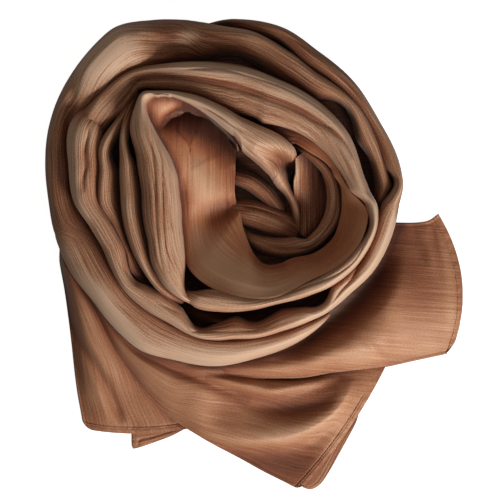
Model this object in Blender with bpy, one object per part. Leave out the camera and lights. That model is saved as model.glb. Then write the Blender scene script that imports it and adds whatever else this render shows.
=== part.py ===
"""A long satin scarf laid down wound as a rose, with its two ends lying out.

One panel of cloth, wound in turns that stand beside each other. Every turn is an arch of cloth:
it rises from its outer foot, bends over its crest and drops to its inner foot. The turns are
described about a hub in the bowl of the rose, by bearing (degrees anticlockwise from +X, seen
from above), radius and height. The ends are flaps described by sections from their upper to
their lower border. Tables are in millimetres; the meshes are made in metres. +Z is up.
"""

import math

import bmesh
import bpy
import numpy as np

MM = 0.001

# the cloth
WALL = 1.3  # thickness of a stretch of cloth, a doubled layer of crinkled chiffon
SEAM = 0.8  # clear space between stretches that touch
NARROWEST = 4.2  # least width of an arch

# the whole
HUB_X = -3.2
HUB_Y = 38.1
CORE_RADIUS = 88.0
CORE_HEIGHT = 22.0
CORE_ROUND = 9.0
CORE_LAYERS = 3
CORE_LAYER_STEP = 1.6
CORE_SIDES = 32
INNER_FOOT = CORE_HEIGHT + 0.8
LEAST_FLANK = 3.0  # height of the lowest inner flank
LEAST_REACH = 1.6  # the crest keeps this far from both borders
FULLNESS = 0.8  # below 1 makes an arch fuller than an ellipse
UNDERCUT = 0.25  # how far a lying turn draws in under its widest line, for each mm below it
UNDERCUT_LIMIT = 0.35  # and at most this share of the turn's width
FLANK_MIDDLE = 0.4  # height of the flank's middle point, as a share of the flank
FLANK_MIDDLE_TUCK = 0.3  # and its share of the whole undercut
FOLD_FADE = 0.6  # below 1 keeps a fold deep for most of its length
END_MARGIN = 3.0  # degrees past its ends in which a turn still keeps the turn outside it clear

# resolution
ARC_STEPS = 5  # in each of the two quarter arcs of a crest
BOWL_STEPS = 9  # points across a lining layer
ROLL_STEPS = 9  # points round and along a small roll
SHARP_ANGLE = 50  # degrees between faces that are shaded as an edge

TURN = ("bearing", "outer", "outer_z", "crest", "crest_z", "inner", "inner_z")

OUTER_WRAP = [
    (1, 94.2, 44, 91.2, 51, 88.2, 38),
    (6, 99.4, 42, 94.5, 52, 88, 38),
    (15, 97, 44, 93.5, 52, 88.3, 38),
    (28, 98, 44, 92.5, 53, 86, 36),
    (45, 100, 44, 96.5, 53, 92.5, 34),
    (60, 100, 43, 94, 53, 85.5, 36),
    (75, 107, 42, 100, 52, 87, 32),
    (90, 118, 40, 111, 51, 97, 30),
    (98, 122, 38, 115, 50.5, 103, 30),
    (104, 127.6, 30, 119, 50, 106, 30),
    (118, 143, 20, 131, 51, 112, 36),
    (130, 154.3, 16, 139, 52, 121.5, 42),
    (145, 153.3, 16, 140, 50, 130, 42),
    (157, 151.5, 16, 143, 46, 137.5, 40),
    (170, 146, 16, 137, 44, 129.5, 38),
    (180, 141.5, 16, 133, 44, 125.4, 38),
    (190, 139, 23, 127, 45, 114, 40),
    (200, 136, 26, 122, 46, 109, 42),
    (215, 130.5, 28, 119, 47, 109.3, 42),
    (232, 130.5, 27, 116, 47, 105, 42),
    (245, 124, 24, 111.5, 47, 103.8, 42),
    (258, 119, 23, 108, 47, 101, 42),
    (272, 111, 23, 103.5, 47, 97.8, 42),
    (290, 104.5, 24, 99.5, 46, 95, 40),
    (299, 101, 28, 98.5, 42, 96, 38),
]

OUTER_TURN = [
    (-203, 136.5, 44, 123, 58, 114, 50),
    (-190, 128.5, 44, 118, 60, 108.4, 50),
    (-180, 123.5, 44, 115.5, 60, 107.7, 50),
    (-170, 113, 44, 106, 60, 99.7, 50),
    (-160, 108, 44, 102.5, 60, 96, 50),
    (-147, 108.2, 46, 104.5, 60, 100.2, 50),
    (-133, 105.3, 46, 98, 60, 90.5, 50),
    (-122, 102.6, 46, 96, 60, 90, 50),
    (-112, 103, 47, 100, 60, 96.8, 52),
    (-104, 101, 46, 94, 61, 88, 54),
    (-96, 97.6, 46, 89, 62, 82, 56),
    (-88, 96.6, 46, 91, 60, 85.5, 54),
    (-74, 94.2, 46, 86, 62, 79.6, 56),
    (-65, 94.3, 44, 88, 60, 82.5, 52),
    (-56, 95.3, 40, 92.5, 58, 88.5, 50),
    (-45, 95.6, 38, 90, 60, 83.9, 54),
    (-30, 99.5, 38, 94.5, 60, 88.5, 54),
    (-12, 102.4, 38, 97, 60, 90.9, 54),
    (-3, 103.8, 38, 99.0, 60, 92.4, 52),
    (7, 107.8, 36, 106, 57, 103, 48),
    (15, 107.5, 34, 103, 54, 98, 44),
    (30, 106, 30, 102.5, 51, 98.5, 42),
    (50, 110.5, 28, 106, 48, 100.6, 40),
    (65, 114.5, 26, 108.5, 46, 102.3, 38),
    (80, 123.5, 20, 119, 42, 114.2, 34),
    (92, 127, 14, 124, 32, 120.3, 26),
    (98, 128.2, 10, 126, 24, 123.8, 20),
    (105.5, 127.4, 8, 125, 17, 122.6, 14),
]

SECOND_TURN = [
    (-122.5, 82.4, 58, 79, 66, 75.5, 56),
    (-117, 84, 58, 77, 70, 70.6, 58),
    (-105, 80.8, 60, 74.5, 71, 67.8, 60),
    (-90, 76.9, 60, 73.6, 70, 70.3, 61),
    (-76, 75, 58, 72.8, 68, 70.6, 60),
    (-60, 78, 58, 74.2, 70, 70.4, 60),
    (-45, 83.2, 58, 78.8, 72, 74.6, 62),
    (-28, 88, 60, 84.6, 73, 81.2, 64),
    (-12, 90.2, 60, 88.1, 73, 86, 64),
    (-3, 88.6, 58, 86, 73, 82.4, 62),
    (5, 83, 54, 77.5, 72, 71.5, 60),
    (15, 80.5, 50, 75.5, 71, 68, 60),
    (35, 82.8, 46, 76, 70, 63.4, 58),
    (55, 83.6, 44, 76.5, 70, 57.6, 60),
    (75, 86, 42, 79, 70, 55.6, 60),
    (95, 94.5, 42, 86, 70, 60.6, 60),
    (108, 101.4, 42, 93, 69, 69.5, 60),
    (122, 112, 44, 103, 68, 89, 58),
    (135, 125.3, 46, 116, 66, 107.5, 58),
    (147, 129.5, 46, 120.5, 63, 110.8, 56),
    (156.8, 136.2, 46, 124.5, 58, 113.9, 52),
]

SIDE_FOLD = [
    (-213, 108.6, 48, 106, 58, 103.5, 46),
    (-200, 112.2, 46, 108, 60, 102.5, 40),
    (-190, 106.9, 44, 103.3, 60, 93.5, 34),
    (-180, 106.3, 44, 102.6, 59, 91.5, 32),
    (-170, 98.6, 42, 95, 56, 91, 32),
    (-158, 94.9, 40, 92.8, 52, 90.7, 34),
    (-148, 98.6, 38, 96.2, 48, 91, 32),
    (-140, 94.6, 36, 92.9, 42, 90.6, 34),
]

INNER_FOLD = [
    (-207, 101.3, 56, 98.8, 64, 96.6, 54),
    (-195, 94, 52, 88.8, 67, 83.3, 52),
    (-180, 90.2, 50, 84, 67, 77.2, 50),
    (-160, 89.6, 50, 84, 66, 78.2, 50),
    (-145, 89.7, 50, 87, 64, 84, 50),
    (-137, 90.2, 50, 87.8, 62, 85.6, 52),
]

INNER_TURN = [
    (42.5, 45.4, 44, 41, 50, 36.6, 42),
    (47, 47.6, 52, 39, 61, 28, 48),
    (52, 48.4, 56, 38, 67, 23.6, 52),
    (62, 49.1, 58, 38, 70, 22.5, 52),
    (78, 51, 60, 39, 73, 25.5, 54),
    (95, 57, 62, 45, 76, 31.8, 58),
    (107, 68.3, 62, 55, 78, 42.5, 60),
    (120, 85.3, 62, 77, 78, 70.5, 62),
    (130, 98.7, 60, 93, 76, 88.5, 62),
    (135.5, 106, 58, 103.6, 72, 101.4, 60),
    (141, 103, 60, 96, 75, 83.5, 62),
    (148, 98.3, 60, 84, 78, 67, 60),
    (160, 84, 60, 68, 79, 54.5, 58),
    (180, 75.4, 58, 62, 79, 49.6, 54),
    (200, 76.5, 58, 65, 78, 52.4, 56),
    (215, 82.5, 58, 72, 76, 58.3, 58),
    (227, 84.8, 58, 76.5, 73, 67.3, 60),
    (237, 84.2, 56, 81.8, 68, 79.3, 58),
]

# where the outer flank of a turn ends: on the floor, on the core, or on an end that passes under it
FOOT = ("bearing", "foot_z")

OUTER_WRAP_FOOT = [
    (1, 22.8),
    (106, 22.8),
    (113, 0),
    (187, 0),
    (192.5, 21.3),
    (204, 22.6),
    (222, 22.5),
    (236, 21.7),
    (246, 18.8),
    (258, 17.1),
    (272, 15.8),
    (299, 14.8),
]

OUTER_TURN_FOOT = [
    (-203, 22.8),
    (-66, 22.8),
    (-60, 14.0),
    (-45, 12.4),
    (-30, 11.4),
    (-12, 10.4),
    (-5, 8.4),
    (1, 0),
    (105.5, 0),
]

BOWL = ("bearing", "outer", "inner", "z0", "z1", "z2", "z3")

PETAL = [
    (108, 43.0, 33.0, 46, 45, 43, 40),
    (115, 56.6, 22.5, 58, 54, 48, 40),
    (125, 75.1, 18.5, 64, 55, 47, 38),
    (132, 88.5, 15.9, 68, 56, 44, 37),
    (138, 88.9, 14.5, 66, 54, 42, 36),
    (144, 73.4, 13.2, 58, 49, 41, 36),
    (152, 59.4, 12.1, 50, 45, 40, 36),
    (165, 51, 10.8, 41, 39, 36, 34),
    (185, 48.6, 9.8, 38, 36, 35, 33),
    (210, 54.4, 10.5, 45, 39, 35, 33),
    (228, 64, 10.9, 55, 45, 38, 33),
    (245, 66.6, 14.3, 62, 51, 41, 33),
    (262, 67.8, 23.5, 66, 57, 45, 34),
    (284, 69.8, 46.7, 67, 62, 54, 42),
    (303, 69.0, 50.6, 66, 60, 52, 42),
    (322, 75.7, 60.2, 68, 60, 51, 44),
    (340, 81.9, 65.6, 70, 62, 53, 46),
    (354, 82.6, 66.5, 68, 61, 54, 48),
    (362, 71.8, 65.6, 62, 58, 54, 50),
    (370, 66.4, 63.1, 58, 56, 54, 51),
    (385, 63.8, 56.6, 56, 54, 52, 50),
    (405, 58.3, 48.8, 54, 53, 51, 50),
]

HEART_RING = [
    (-84, 34.5, 28, 30, 35, 25.5, 28),
    (-65, 42, 30, 36, 38, 30, 28),
    (-45, 52, 32, 45, 41, 37, 30),
    (-25, 58.5, 36, 54.5, 44, 51, 34),
    (-8, 63.2, 38, 59, 45, 54.6, 36),
    (8, 63, 38, 59.5, 45, 55.6, 36),
    (25, 56.2, 38, 53.2, 45, 50.2, 38),
    (38, 50.8, 40, 48.6, 46, 46.2, 40),
]

HEART_WALL = [
    (-24, 49.0, 34.5, 34, 31, 28, 26),
    (-8, 52.6, 33.5, 38, 34, 30, 27),
    (8, 53.6, 30, 40, 35, 31, 28),
    (24, 49, 26.5, 42, 38, 34, 30),
    (36, 45.2, 31, 42, 40, 37, 34),
]

ROLL = ("x", "y", "half_width", "z")

HEART_BAND = [
    (-7, 13.5, 3.4, 36),
    (0, 13.2, 5.2, 39),
    (7, 9.8, 5.2, 39),
    (13, 4.5, 4.2, 37),
    (17.6, -0.5, 2.6, 33),
]

HEART_ROLL = [
    (-2, -5.6, 4.2, 32),
    (5, -7.2, 7.6, 36),
    (14, -11.2, 8.6, 38),
    (22.5, -15, 8.8, 37),
    (28, -17.6, 7.6, 33),
]

FLAP = ("upper_x", "upper_y", "lower_x", "lower_y", "bulge", "z0", "z1", "z2", "z3", "z4")

# about the hub, from the root under the turns to the hem
LEFT_END = [
    (-132.2, -30.0, -124.0, -38.0, 0, 1.3, 16, 19, 19, 18),
    (-134.6, -41.0, -122.0, -47.5, 0, 1.3, 18, 20, 19.5, 17),
    (-133.2, -50.5, -120.0, -56.5, 0, 1.3, 18.5, 20.5, 18.5, 14),
    (-130.9, -63, -115.0, -65.4, 0, 1.3, 18, 20.5, 17, 12),
    (-128.5, -80, -106.6, -81, 0, 1.3, 17, 19.5, 14, 9),
    (-125.8, -102, -93.5, -103, 0, 1.3, 16, 18, 12.5, 6.4),
    (-123.9, -120, -81.0, -120.5, 0, 1.3, 13, 15, 9.6, 4.8),
    (-121.8, -136, -71.5, -137, 0, 1.3, 10, 10, 9, 3.6),
    (-119.2, -150, -60.0, -151, 0, 1.3, 7, 5.5, 7, 3.4),
    (-117.2, -161, -47.6, -160.6, 3.0, 1.3, 3.3, 3.3, 4.4, 3.4),
]

LOWER_END = [
    (-116.0, -50.0, -120.6, -57.0, 0, 20, 20.8, 21, 21, 20.6),
    (-106.0, -60.5, -115.6, -66.5, 0, 21.5, 21.6, 21.6, 21, 18.5),
    (-94.0, -73, -107.8, -82, 0, 21.5, 21.8, 22, 21, 16),
    (-84.0, -87, -97.0, -104.5, 0, 21.5, 21.8, 22, 21, 14),
    (-74.0, -99, -84.0, -122, 0, 20.5, 20.5, 21, 19, 10.5),
    (-60.0, -106.5, -72.2, -138, 0, 19, 19.5, 20, 17, 8.5),
    (-46.0, -111, -58.0, -152, 0, 16, 17.5, 19, 16, 6),
    (-31.0, -112.5, -43.5, -161.5, 1, 13, 16.5, 17, 14, 1.3),
    (-15.0, -126.0, -26.0, -172, 2, 9, 18, 13, 14, 1.3),
    (6.0, -127.8, -7.0, -182, 2.5, 8, 18, 11, 13, 1.3),
    (33.0, -127.4, 10.0, -191.5, 3.5, 8, 16, 9, 11, 1.3),
    (56.0, -123.9, 24.0, -198.4, 5.5, 7, 13, 8, 9, 3),
    (76.0, -120.9, 33.0, -202.8, 5.0, 3.5, 8, 7, 6, 3.2),
    (88.0, -119.8, 37.6, -203.4, 4.0, 1.3, 5.2, 5, 4.6, 3.4),
]

RIGHT_END = [
    (-30.0, -106.0, -30.4, -110.0, 0, 14, 14, 14, 14, 14),
    (-14.0, -106.0, -16.0, -124.2, 0, 13, 14, 15, 14.5, 10),
    (8.0, -101.0, 8.4, -125.4, 0, 11, 13.4, 15, 16, 10),
    (33.0, -90.0, 35.0, -125.2, 0, 10, 12.4, 17, 18, 10),
    (50.0, -76.0, 56.0, -121.6, 0, 9, 11, 17, 20, 9),
    (65.0, -62.0, 77.0, -119.4, 0, 8, 10.5, 18, 21, 6),
    (80.0, -47.0, 95.6, -117.6, 0, 7, 10, 19, 19, 2),
    (90.0, -30.0, 106.0, -115.4, 0, 6, 10, 19, 16, 1.3),
    (96.5, -15.4, 118.6, -112.6, 3, 5, 10, 17, 14, 1.3),
    (112.0, -15.8, 130.0, -110.2, 6, 2, 9, 13, 11, 1.3),
    (124.4, -14.8, 138.0, -108.4, 9, 3, 5.6, 7, 7, 1.3),
    (132.6, -9.4, 142.6, -106.0, 12, 4.6, 1.4, 2.4, 1.8, 1.3),
]

LEFT_LAYER = [
    (-84.0, -152.0, -83.2, -173.2, 0, 1.3, 1.3, 1.3, 1.3, 1.3),
    (-78.0, -152.0, -78.4, -173.4, 0, 1.3, 1.5, 1.7, 1.5, 1.3),
    (-66.0, -152.0, -67.0, -170.6, 0, 1.3, 1.5, 1.7, 1.5, 1.3),
    (-54.0, -152.0, -55.0, -166.0, 0, 1.3, 1.3, 1.3, 1.3, 1.3),
    (-47.0, -152.0, -47.0, -162.4, 0, 1.3, 1.3, 1.3, 1.3, 1.3),
]

LOWER_LAYER = [
    (40.0, -198.0, 38.6, -202.6, 0, 1.3, 1.3, 1.3, 1.3, 1.3),
    (43.0, -190.0, 47.6, -202.4, 0, 1.3, 1.5, 1.7, 1.5, 1.3),
    (52.0, -176.0, 58.8, -185.6, 0, 1.3, 1.5, 1.7, 1.5, 1.3),
    (62.0, -158.0, 72.0, -163.0, 0, 1.3, 1.5, 1.7, 1.5, 1.3),
    (72.0, -140.0, 81.0, -146.6, 0, 1.3, 1.5, 1.7, 1.5, 1.3),
    (80.0, -130.0, 85.4, -136.0, 0, 1.3, 1.3, 1.3, 1.3, 1.3),
]

# a fold pressed into a turn or a flap: where it runs along (bearing, or share of the length),
# where it lies across (share from the outer or upper border), its depth and half width
FOLD = ("start", "end", "across_start", "across_end", "depth", "half_width")

FOLDS = {
    "second_turn": [
        (20, 150, 0.34, 0.56, 6.0, 3.2),
    ],
    "outer_turn": [
        (-205, -172, 0.60, 0.56, 4.0, 2.4),
        (-38, 0, 0.80, 0.72, 2.6, 2.0),
    ],
    "inner_turn": [
        (48, 132, 0.55, 0.70, 1.6, 3.0),
    ],
    "outer_wrap": [
        (146, 178, 0.30, 0.92, 4.0, 4.0),
        (24, 96, 0.42, 0.50, 1.6, 3.0),
    ],
    "left_end": [
        (0.25, 1.02, 0.46, 0.72, 4.0, 5.0),
    ],
    "lower_end": [
        (0.50, 0.92, 0.34, 0.42, 3.0, 8.0),
    ],
    "right_end": [
        (0.70, 0.96, 0.10, 0.22, 1.6, 4.0),
    ],
}

COLOURS = {
    "left_end": (0.33, 0.185, 0.125),
    "left_end_layer": (0.30, 0.165, 0.11),
    "lower_end": (0.34, 0.18, 0.12),
    "lower_end_layer": (0.30, 0.165, 0.11),
    "right_end": (0.34, 0.18, 0.12),
    "outer_wrap": (0.38, 0.215, 0.145),
    "outer_turn": (0.37, 0.205, 0.135),
    "second_turn": (0.42, 0.245, 0.165),
    "side_fold": (0.36, 0.20, 0.13),
    "inner_fold": (0.40, 0.23, 0.155),
    "inner_turn": (0.45, 0.27, 0.18),
    "petal": (0.40, 0.215, 0.14),
    "heart_ring": (0.30, 0.16, 0.105),
    "heart_wall": (0.24, 0.11, 0.075),
    "heart_band": (0.34, 0.19, 0.125),
    "heart_roll": (0.34, 0.19, 0.125),
    "core": (0.30, 0.165, 0.11),
}
SATIN_ROUGHNESS = 0.42


def smooth(places, values, at):
    """A curve through the values that never swings past them (limited cubic), read at the places."""
    x = np.asarray(places, float)
    y = np.asarray(values, float)
    gap = np.diff(x)
    rise = np.diff(y) / gap
    slope = np.zeros_like(y)
    before = rise[:-1]
    after = rise[1:]
    weight_a = 2 * gap[1:] + gap[:-1]
    weight_b = gap[1:] + 2 * gap[:-1]
    same_way = before * after > 0
    safe_before = np.where(same_way, before, 1.0)
    safe_after = np.where(same_way, after, 1.0)
    mean = (weight_a + weight_b) / (weight_a / safe_before + weight_b / safe_after)
    slope[1:-1] = np.where(same_way, mean, 0.0)
    slope[0] = rise[0]
    slope[-1] = rise[-1]
    k = np.clip(np.searchsorted(x, at, side="right") - 1, 0, len(x) - 2)
    t = (at - x[k]) / gap[k]
    h = gap[k]
    return (
        y[k] * (1 + 2 * t) * (1 - t) ** 2
        + slope[k] * h * t * (1 - t) ** 2
        + y[k + 1] * t**2 * (3 - 2 * t)
        + slope[k + 1] * h * t**2 * (t - 1)
    )


def columns(rows, names, at):
    """Each named column of a table of sections, read smoothly at the given places."""
    table = np.array(rows, float)
    return {name: smooth(table[:, 0], table[:, i], at) for i, name in enumerate(names)}


def outer_line(rows, bearing):
    """The outer border of a turn at any bearing, and nothing beyond its ends."""
    table = np.array(rows, float)
    best = np.full_like(bearing, -1.0)
    for whole in (-360, 0, 360):
        at = bearing + whole
        inside = (at >= table[0, 0] - END_MARGIN) & (at <= table[-1, 0] + END_MARGIN)
        read = smooth(table[:, 0], table[:, 1], np.clip(at, table[0, 0], table[-1, 0]))
        best = np.where(inside, np.maximum(best, read), best)
    return best


def clear_of(inner, outer, bearing, neighbours):
    """Moves an inner border out until it clears the outer borders of the turns inside it."""
    for rows in neighbours:
        line = outer_line(rows, bearing)
        lies_inside = line < outer - 0.5 * NARROWEST
        inner = np.where(lies_inside, np.maximum(inner, line + SEAM), inner)
    return inner


def folds(name, along, across, width):
    """Depth pressed in at each point: a soft V along each fold, fading out at its two ends."""
    depth = np.zeros(np.broadcast(along, across).shape)
    for start, end, across_start, across_end, deep, half_width in FOLDS.get(name, []):
        share = np.clip((along - start) / (end - start), 0, 1)
        fade = np.sin(math.pi * share) ** FOLD_FADE
        centre = across_start + (across_end - across_start) * share
        away = np.abs(across - centre) * width / half_width
        depth += deep * fade * np.exp(-away)
    return depth


def upward_normals(points):
    """The unit normal at each point of a grid that lies, on its upper side."""
    normal = np.cross(np.gradient(points, axis=0), np.gradient(points, axis=1))
    normal /= np.maximum(np.linalg.norm(normal, axis=2, keepdims=True), 1e-9)
    return normal * np.sign(normal[..., 2].mean())


def to_world(radius, bearing, z):
    """Points about the hub, in the part's own frame."""
    turn = np.radians(bearing)
    x = HUB_X + radius * np.cos(turn)
    y = HUB_Y + radius * np.sin(turn)
    return np.stack(np.broadcast_arrays(x, y, z), axis=-1)


def turn_points(name, rows, neighbours, feet, step):
    """The outside of a standing turn: outer flank, two quarter arcs over the crest, inner flank.

    The outer flank ends where the table of feet says, or on the core, as the inner flank does.
    A flank that reaches the floor draws in below its widest line.
    """
    first = rows[0][0]
    last = rows[-1][0]
    stations = round((last - first) / step) + 1
    bearing = np.linspace(first, last, stations)
    c = columns(rows, TURN, bearing)
    inner = clear_of(c["inner"], c["outer"], bearing, neighbours)
    inner = np.minimum(inner, c["outer"] - NARROWEST)
    crest = np.clip(c["crest"], inner + LEAST_REACH, c["outer"] - LEAST_REACH)
    arc = np.linspace(-1, 1, 2 * ARC_STEPS + 1)
    bend = np.abs(np.sin(arc * math.pi / 2)) ** FULLNESS
    lift = np.abs(np.cos(arc * math.pi / 2)) ** FULLNESS
    lift[0] = 0.0
    lift[-1] = 0.0
    outside = arc < 0
    reach = np.where(outside, (c["outer"] - crest)[:, None], (inner - crest)[:, None])
    edge_z = np.where(outside, c["outer_z"][:, None], c["inner_z"][:, None])
    radius = crest[:, None] + reach * bend
    z = edge_z + (c["crest_z"][:, None] - edge_z) * lift
    width = (c["outer"] - inner)[:, None]
    across = (c["outer"][:, None] - radius) / width
    z -= folds(name, bearing[:, None], across, width) * lift
    foot_z = np.full(stations, INNER_FOOT)
    if feet:
        foot_z = columns(feet, FOOT, bearing)["foot_z"]
    off_core = np.clip(2 * (1 - foot_z / INNER_FOOT), 0, 1)
    tuck = UNDERCUT * off_core * (c["outer_z"] - foot_z)
    tuck = np.clip(tuck, 0, UNDERCUT_LIMIT * (c["outer"] - inner))
    low_z = foot_z + FLANK_MIDDLE * (c["outer_z"] - foot_z)
    middle = c["outer"] - FLANK_MIDDLE_TUCK * tuck
    radius = np.column_stack([c["outer"] - tuck, middle, radius, inner])
    inner_foot_z = np.minimum(INNER_FOOT, c["inner_z"] - LEAST_FLANK)
    z = np.column_stack([foot_z, low_z, z, inner_foot_z])
    return to_world(radius, bearing[:, None], z)


def bowl_points(rows, neighbours, step):
    """The outside of a lining layer: a slope from its outer to its inner border."""
    first = rows[0][0]
    last = rows[-1][0]
    stations = round((last - first) / step) + 1
    bearing = np.linspace(first, last, stations)
    c = columns(rows, BOWL, bearing)
    inner = clear_of(c["inner"], c["outer"], bearing, neighbours)
    share = np.linspace(0, 1, BOWL_STEPS)
    radius = c["outer"][:, None] + (inner - c["outer"])[:, None] * share
    heights = np.column_stack([c["z0"], c["z1"], c["z2"], c["z3"]])
    z = np.array([smooth([0, 0.33, 0.67, 1], row, share) for row in heights])
    return to_world(radius, bearing[:, None], z)


def roll_points(rows):
    """The outside of a small roll: a half ellipse over a spine, drawn in at both ends."""
    table = np.array(rows, float)
    run = np.linalg.norm(np.diff(table[:, :2], axis=0), axis=1)
    place = np.concatenate([[0], np.cumsum(run)])
    at = np.linspace(0, place[-1], ROLL_STEPS)
    x, y, half, top = (smooth(place, table[:, i], at) for i in range(4))
    way = np.gradient(np.column_stack([x, y]), axis=0)
    way /= np.linalg.norm(way, axis=1, keepdims=True)
    side = np.column_stack([-way[:, 1], way[:, 0]])
    turn = np.linspace(0, math.pi, ROLL_STEPS)
    offset = half[:, None] * np.cos(turn)
    px = HUB_X + x[:, None] + side[:, :1] * offset
    py = HUB_Y + y[:, None] + side[:, 1:] * offset
    pz = INNER_FOOT + (top[:, None] - INNER_FOOT) * np.sin(turn) ** FULLNESS
    return np.stack([px, py, pz], axis=-1)


def flap_points(name, rows, stations, steps):
    """The outside of a lying end: sections from its upper to its lower border."""
    table = np.array(rows, float)
    place = np.arange(len(rows), dtype=float)
    at = np.linspace(0, place[-1], stations)
    c = {key: smooth(place, table[:, i], at) for i, key in enumerate(FLAP)}
    share = np.linspace(0, 1, steps)
    start = np.column_stack([c["upper_x"], c["upper_y"]])
    stop = np.column_stack([c["lower_x"], c["lower_y"]])
    chord = stop - start
    width = np.linalg.norm(chord, axis=1, keepdims=True)
    aside = np.column_stack([-chord[:, 1], chord[:, 0]]) / width
    bow = c["bulge"][:, None] * 4 * share * (1 - share)
    xy = (
        start[:, None]
        + chord[:, None] * share[:, None]
        + aside[:, None] * bow[..., None]
    )
    heights = np.column_stack([c["z0"], c["z1"], c["z2"], c["z3"], c["z4"]])
    z = np.array([smooth([0, 0.25, 0.5, 0.75, 1], row, share) for row in heights])
    along = at[:, None] / place[-1]
    inside = np.sin(math.pi * np.clip(share, 0, 1)) ** 0.5
    z -= folds(name, along, share, width) * inside
    z = np.maximum(z, WALL)
    return np.stack([HUB_X + xy[..., 0], HUB_Y + xy[..., 1], z], axis=-1)


def section_normals(points):
    """The unit normal at each point of a turn, kept in the upright plane of its section."""
    spoke = points[:, 0, :2] - np.array([HUB_X, HUB_Y])
    spoke /= np.linalg.norm(spoke, axis=1, keepdims=True)
    way = np.column_stack([-spoke[:, 1], spoke[:, 0], np.zeros(len(spoke))])
    normal = np.cross(way[:, None, :], np.gradient(points, axis=1))
    return normal / np.maximum(np.linalg.norm(normal, axis=2, keepdims=True), 1e-9)


def wall_object(name, outside, normal):
    """Gives a grid of outside points its thickness, inwards, and closes the four edges."""
    inside = outside - normal * WALL
    inside[..., 2] = np.maximum(inside[..., 2], 0.0)
    return grid_object(name, outside, inside)


def grid_object(name, top, bottom):
    """One closed body from two grids of points and the rim between them."""
    rows, cols = top.shape[:2]
    count = rows * cols
    index = np.arange(count).reshape(rows, cols)
    quads = np.stack(
        [index[:-1, :-1], index[1:, :-1], index[1:, 1:], index[:-1, 1:]], axis=-1
    ).reshape(-1, 4)
    faces = [tuple(int(i) for i in quad) for quad in quads]
    faces += [tuple(int(i) + count for i in quad[::-1]) for quad in quads]
    rim = list(index[0, :]) + list(index[1:, -1]) + list(index[-1, -2::-1])
    rim += list(index[-2:0:-1, 0])
    rim = [int(i) for i in rim]
    for a, b in zip(rim, rim[1:] + rim[:1]):
        faces.append((a, b, b + count, a + count))
    points = np.concatenate([top.reshape(-1, 3), bottom.reshape(-1, 3)]) * MM
    mesh = bpy.data.meshes.new(name)
    mesh.from_pydata([tuple(p) for p in points], [], faces)
    shape = bmesh.new()
    shape.from_mesh(mesh)
    bmesh.ops.triangulate(shape, faces=shape.faces)
    bmesh.ops.recalc_face_normals(shape, faces=shape.faces)
    shape.to_mesh(mesh)
    shape.free()
    return add_object(name, mesh)


def add_object(name, mesh):
    """Puts a mesh in the scene under its node's name, with its own satin."""
    mesh.shade_smooth()
    mesh.set_sharp_from_angle(angle=math.radians(SHARP_ANGLE))
    item = bpy.data.objects.new(name, mesh)
    bpy.context.scene.collection.objects.link(item)
    material = bpy.data.materials.new(name + "_satin")
    material.use_nodes = True
    shader = material.node_tree.nodes["Principled BSDF"]
    shader.inputs["Base Color"].default_value = (*COLOURS[name], 1.0)
    shader.inputs["Roughness"].default_value = SATIN_ROUGHNESS
    shader.inputs["Metallic"].default_value = 0.0
    mesh.materials.append(material)
    return item


def make_core():
    """The hidden inner layers: a turned bun, stepped at its edge like stacked layers."""
    rise = (CORE_HEIGHT - CORE_ROUND) / CORE_LAYERS
    profile = [(0.0, 0.0), (CORE_RADIUS - CORE_LAYER_STEP, 0.0)]
    for layer in range(CORE_LAYERS):
        low = layer * rise
        profile.append((CORE_RADIUS, low + 0.35 * rise))
        profile.append((CORE_RADIUS, low + 0.75 * rise))
        profile.append((CORE_RADIUS - CORE_LAYER_STEP, low + rise))
    for angle in (30, 60, 90):
        turn = math.radians(angle)
        drawn_in = CORE_ROUND * (1 - math.cos(turn))
        height = CORE_HEIGHT - CORE_ROUND * (1 - math.sin(turn))
        profile.append((CORE_RADIUS - CORE_LAYER_STEP - drawn_in, height))
    profile.append((0.0, CORE_HEIGHT))
    shape = bmesh.new()
    points = [shape.verts.new((r * MM, 0.0, z * MM)) for r, z in profile]
    edges = [shape.edges.new(pair) for pair in zip(points, points[1:])]
    bmesh.ops.spin(
        shape,
        geom=points + edges,
        cent=(0, 0, 0),
        axis=(0, 0, 1),
        angle=2 * math.pi,
        steps=CORE_SIDES,
        use_merge=True,
    )
    bmesh.ops.remove_doubles(shape, verts=shape.verts, dist=0.00001)
    bmesh.ops.translate(shape, verts=shape.verts, vec=(HUB_X * MM, HUB_Y * MM, 0))
    bmesh.ops.triangulate(shape, faces=shape.faces)
    bmesh.ops.recalc_face_normals(shape, faces=shape.faces)
    mesh = bpy.data.meshes.new("core")
    shape.to_mesh(mesh)
    shape.free()
    add_object("core", mesh)


# each turn with the turns inside it, the table of its feet and the degrees between its sections
TURNS = [
    ("outer_wrap", OUTER_WRAP, [OUTER_TURN, SECOND_TURN], OUTER_WRAP_FOOT, 7.5),
    ("outer_turn", OUTER_TURN, [SECOND_TURN, SIDE_FOLD, INNER_FOLD, OUTER_WRAP], OUTER_TURN_FOOT, 6),
    ("second_turn", SECOND_TURN, [INNER_TURN, PETAL, SIDE_FOLD, INNER_FOLD], None, 7),
    ("side_fold", SIDE_FOLD, [INNER_FOLD, INNER_TURN], None, 9),
    ("inner_fold", INNER_FOLD, [INNER_TURN], None, 9),
    ("inner_turn", INNER_TURN, [PETAL], None, 7),
    ("heart_ring", HEART_RING, [HEART_WALL], None, 11),
]

# each lining layer with the turns inside it and the degrees between its sections
LININGS = [
    ("petal", PETAL, [HEART_RING], 7.5),
    ("heart_wall", HEART_WALL, [], 12),
]

ROLLS = [
    ("heart_band", HEART_BAND),
    ("heart_roll", HEART_ROLL),
]

# each flap with its points along and across
FLAPS = [
    ("left_end", LEFT_END, 19, 13),
    ("lower_end", LOWER_END, 21, 15),
    ("right_end", RIGHT_END, 18, 13),
    ("left_end_layer", LEFT_LAYER, 7, 4),
    ("lower_end_layer", LOWER_LAYER, 9, 4),
]


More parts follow.
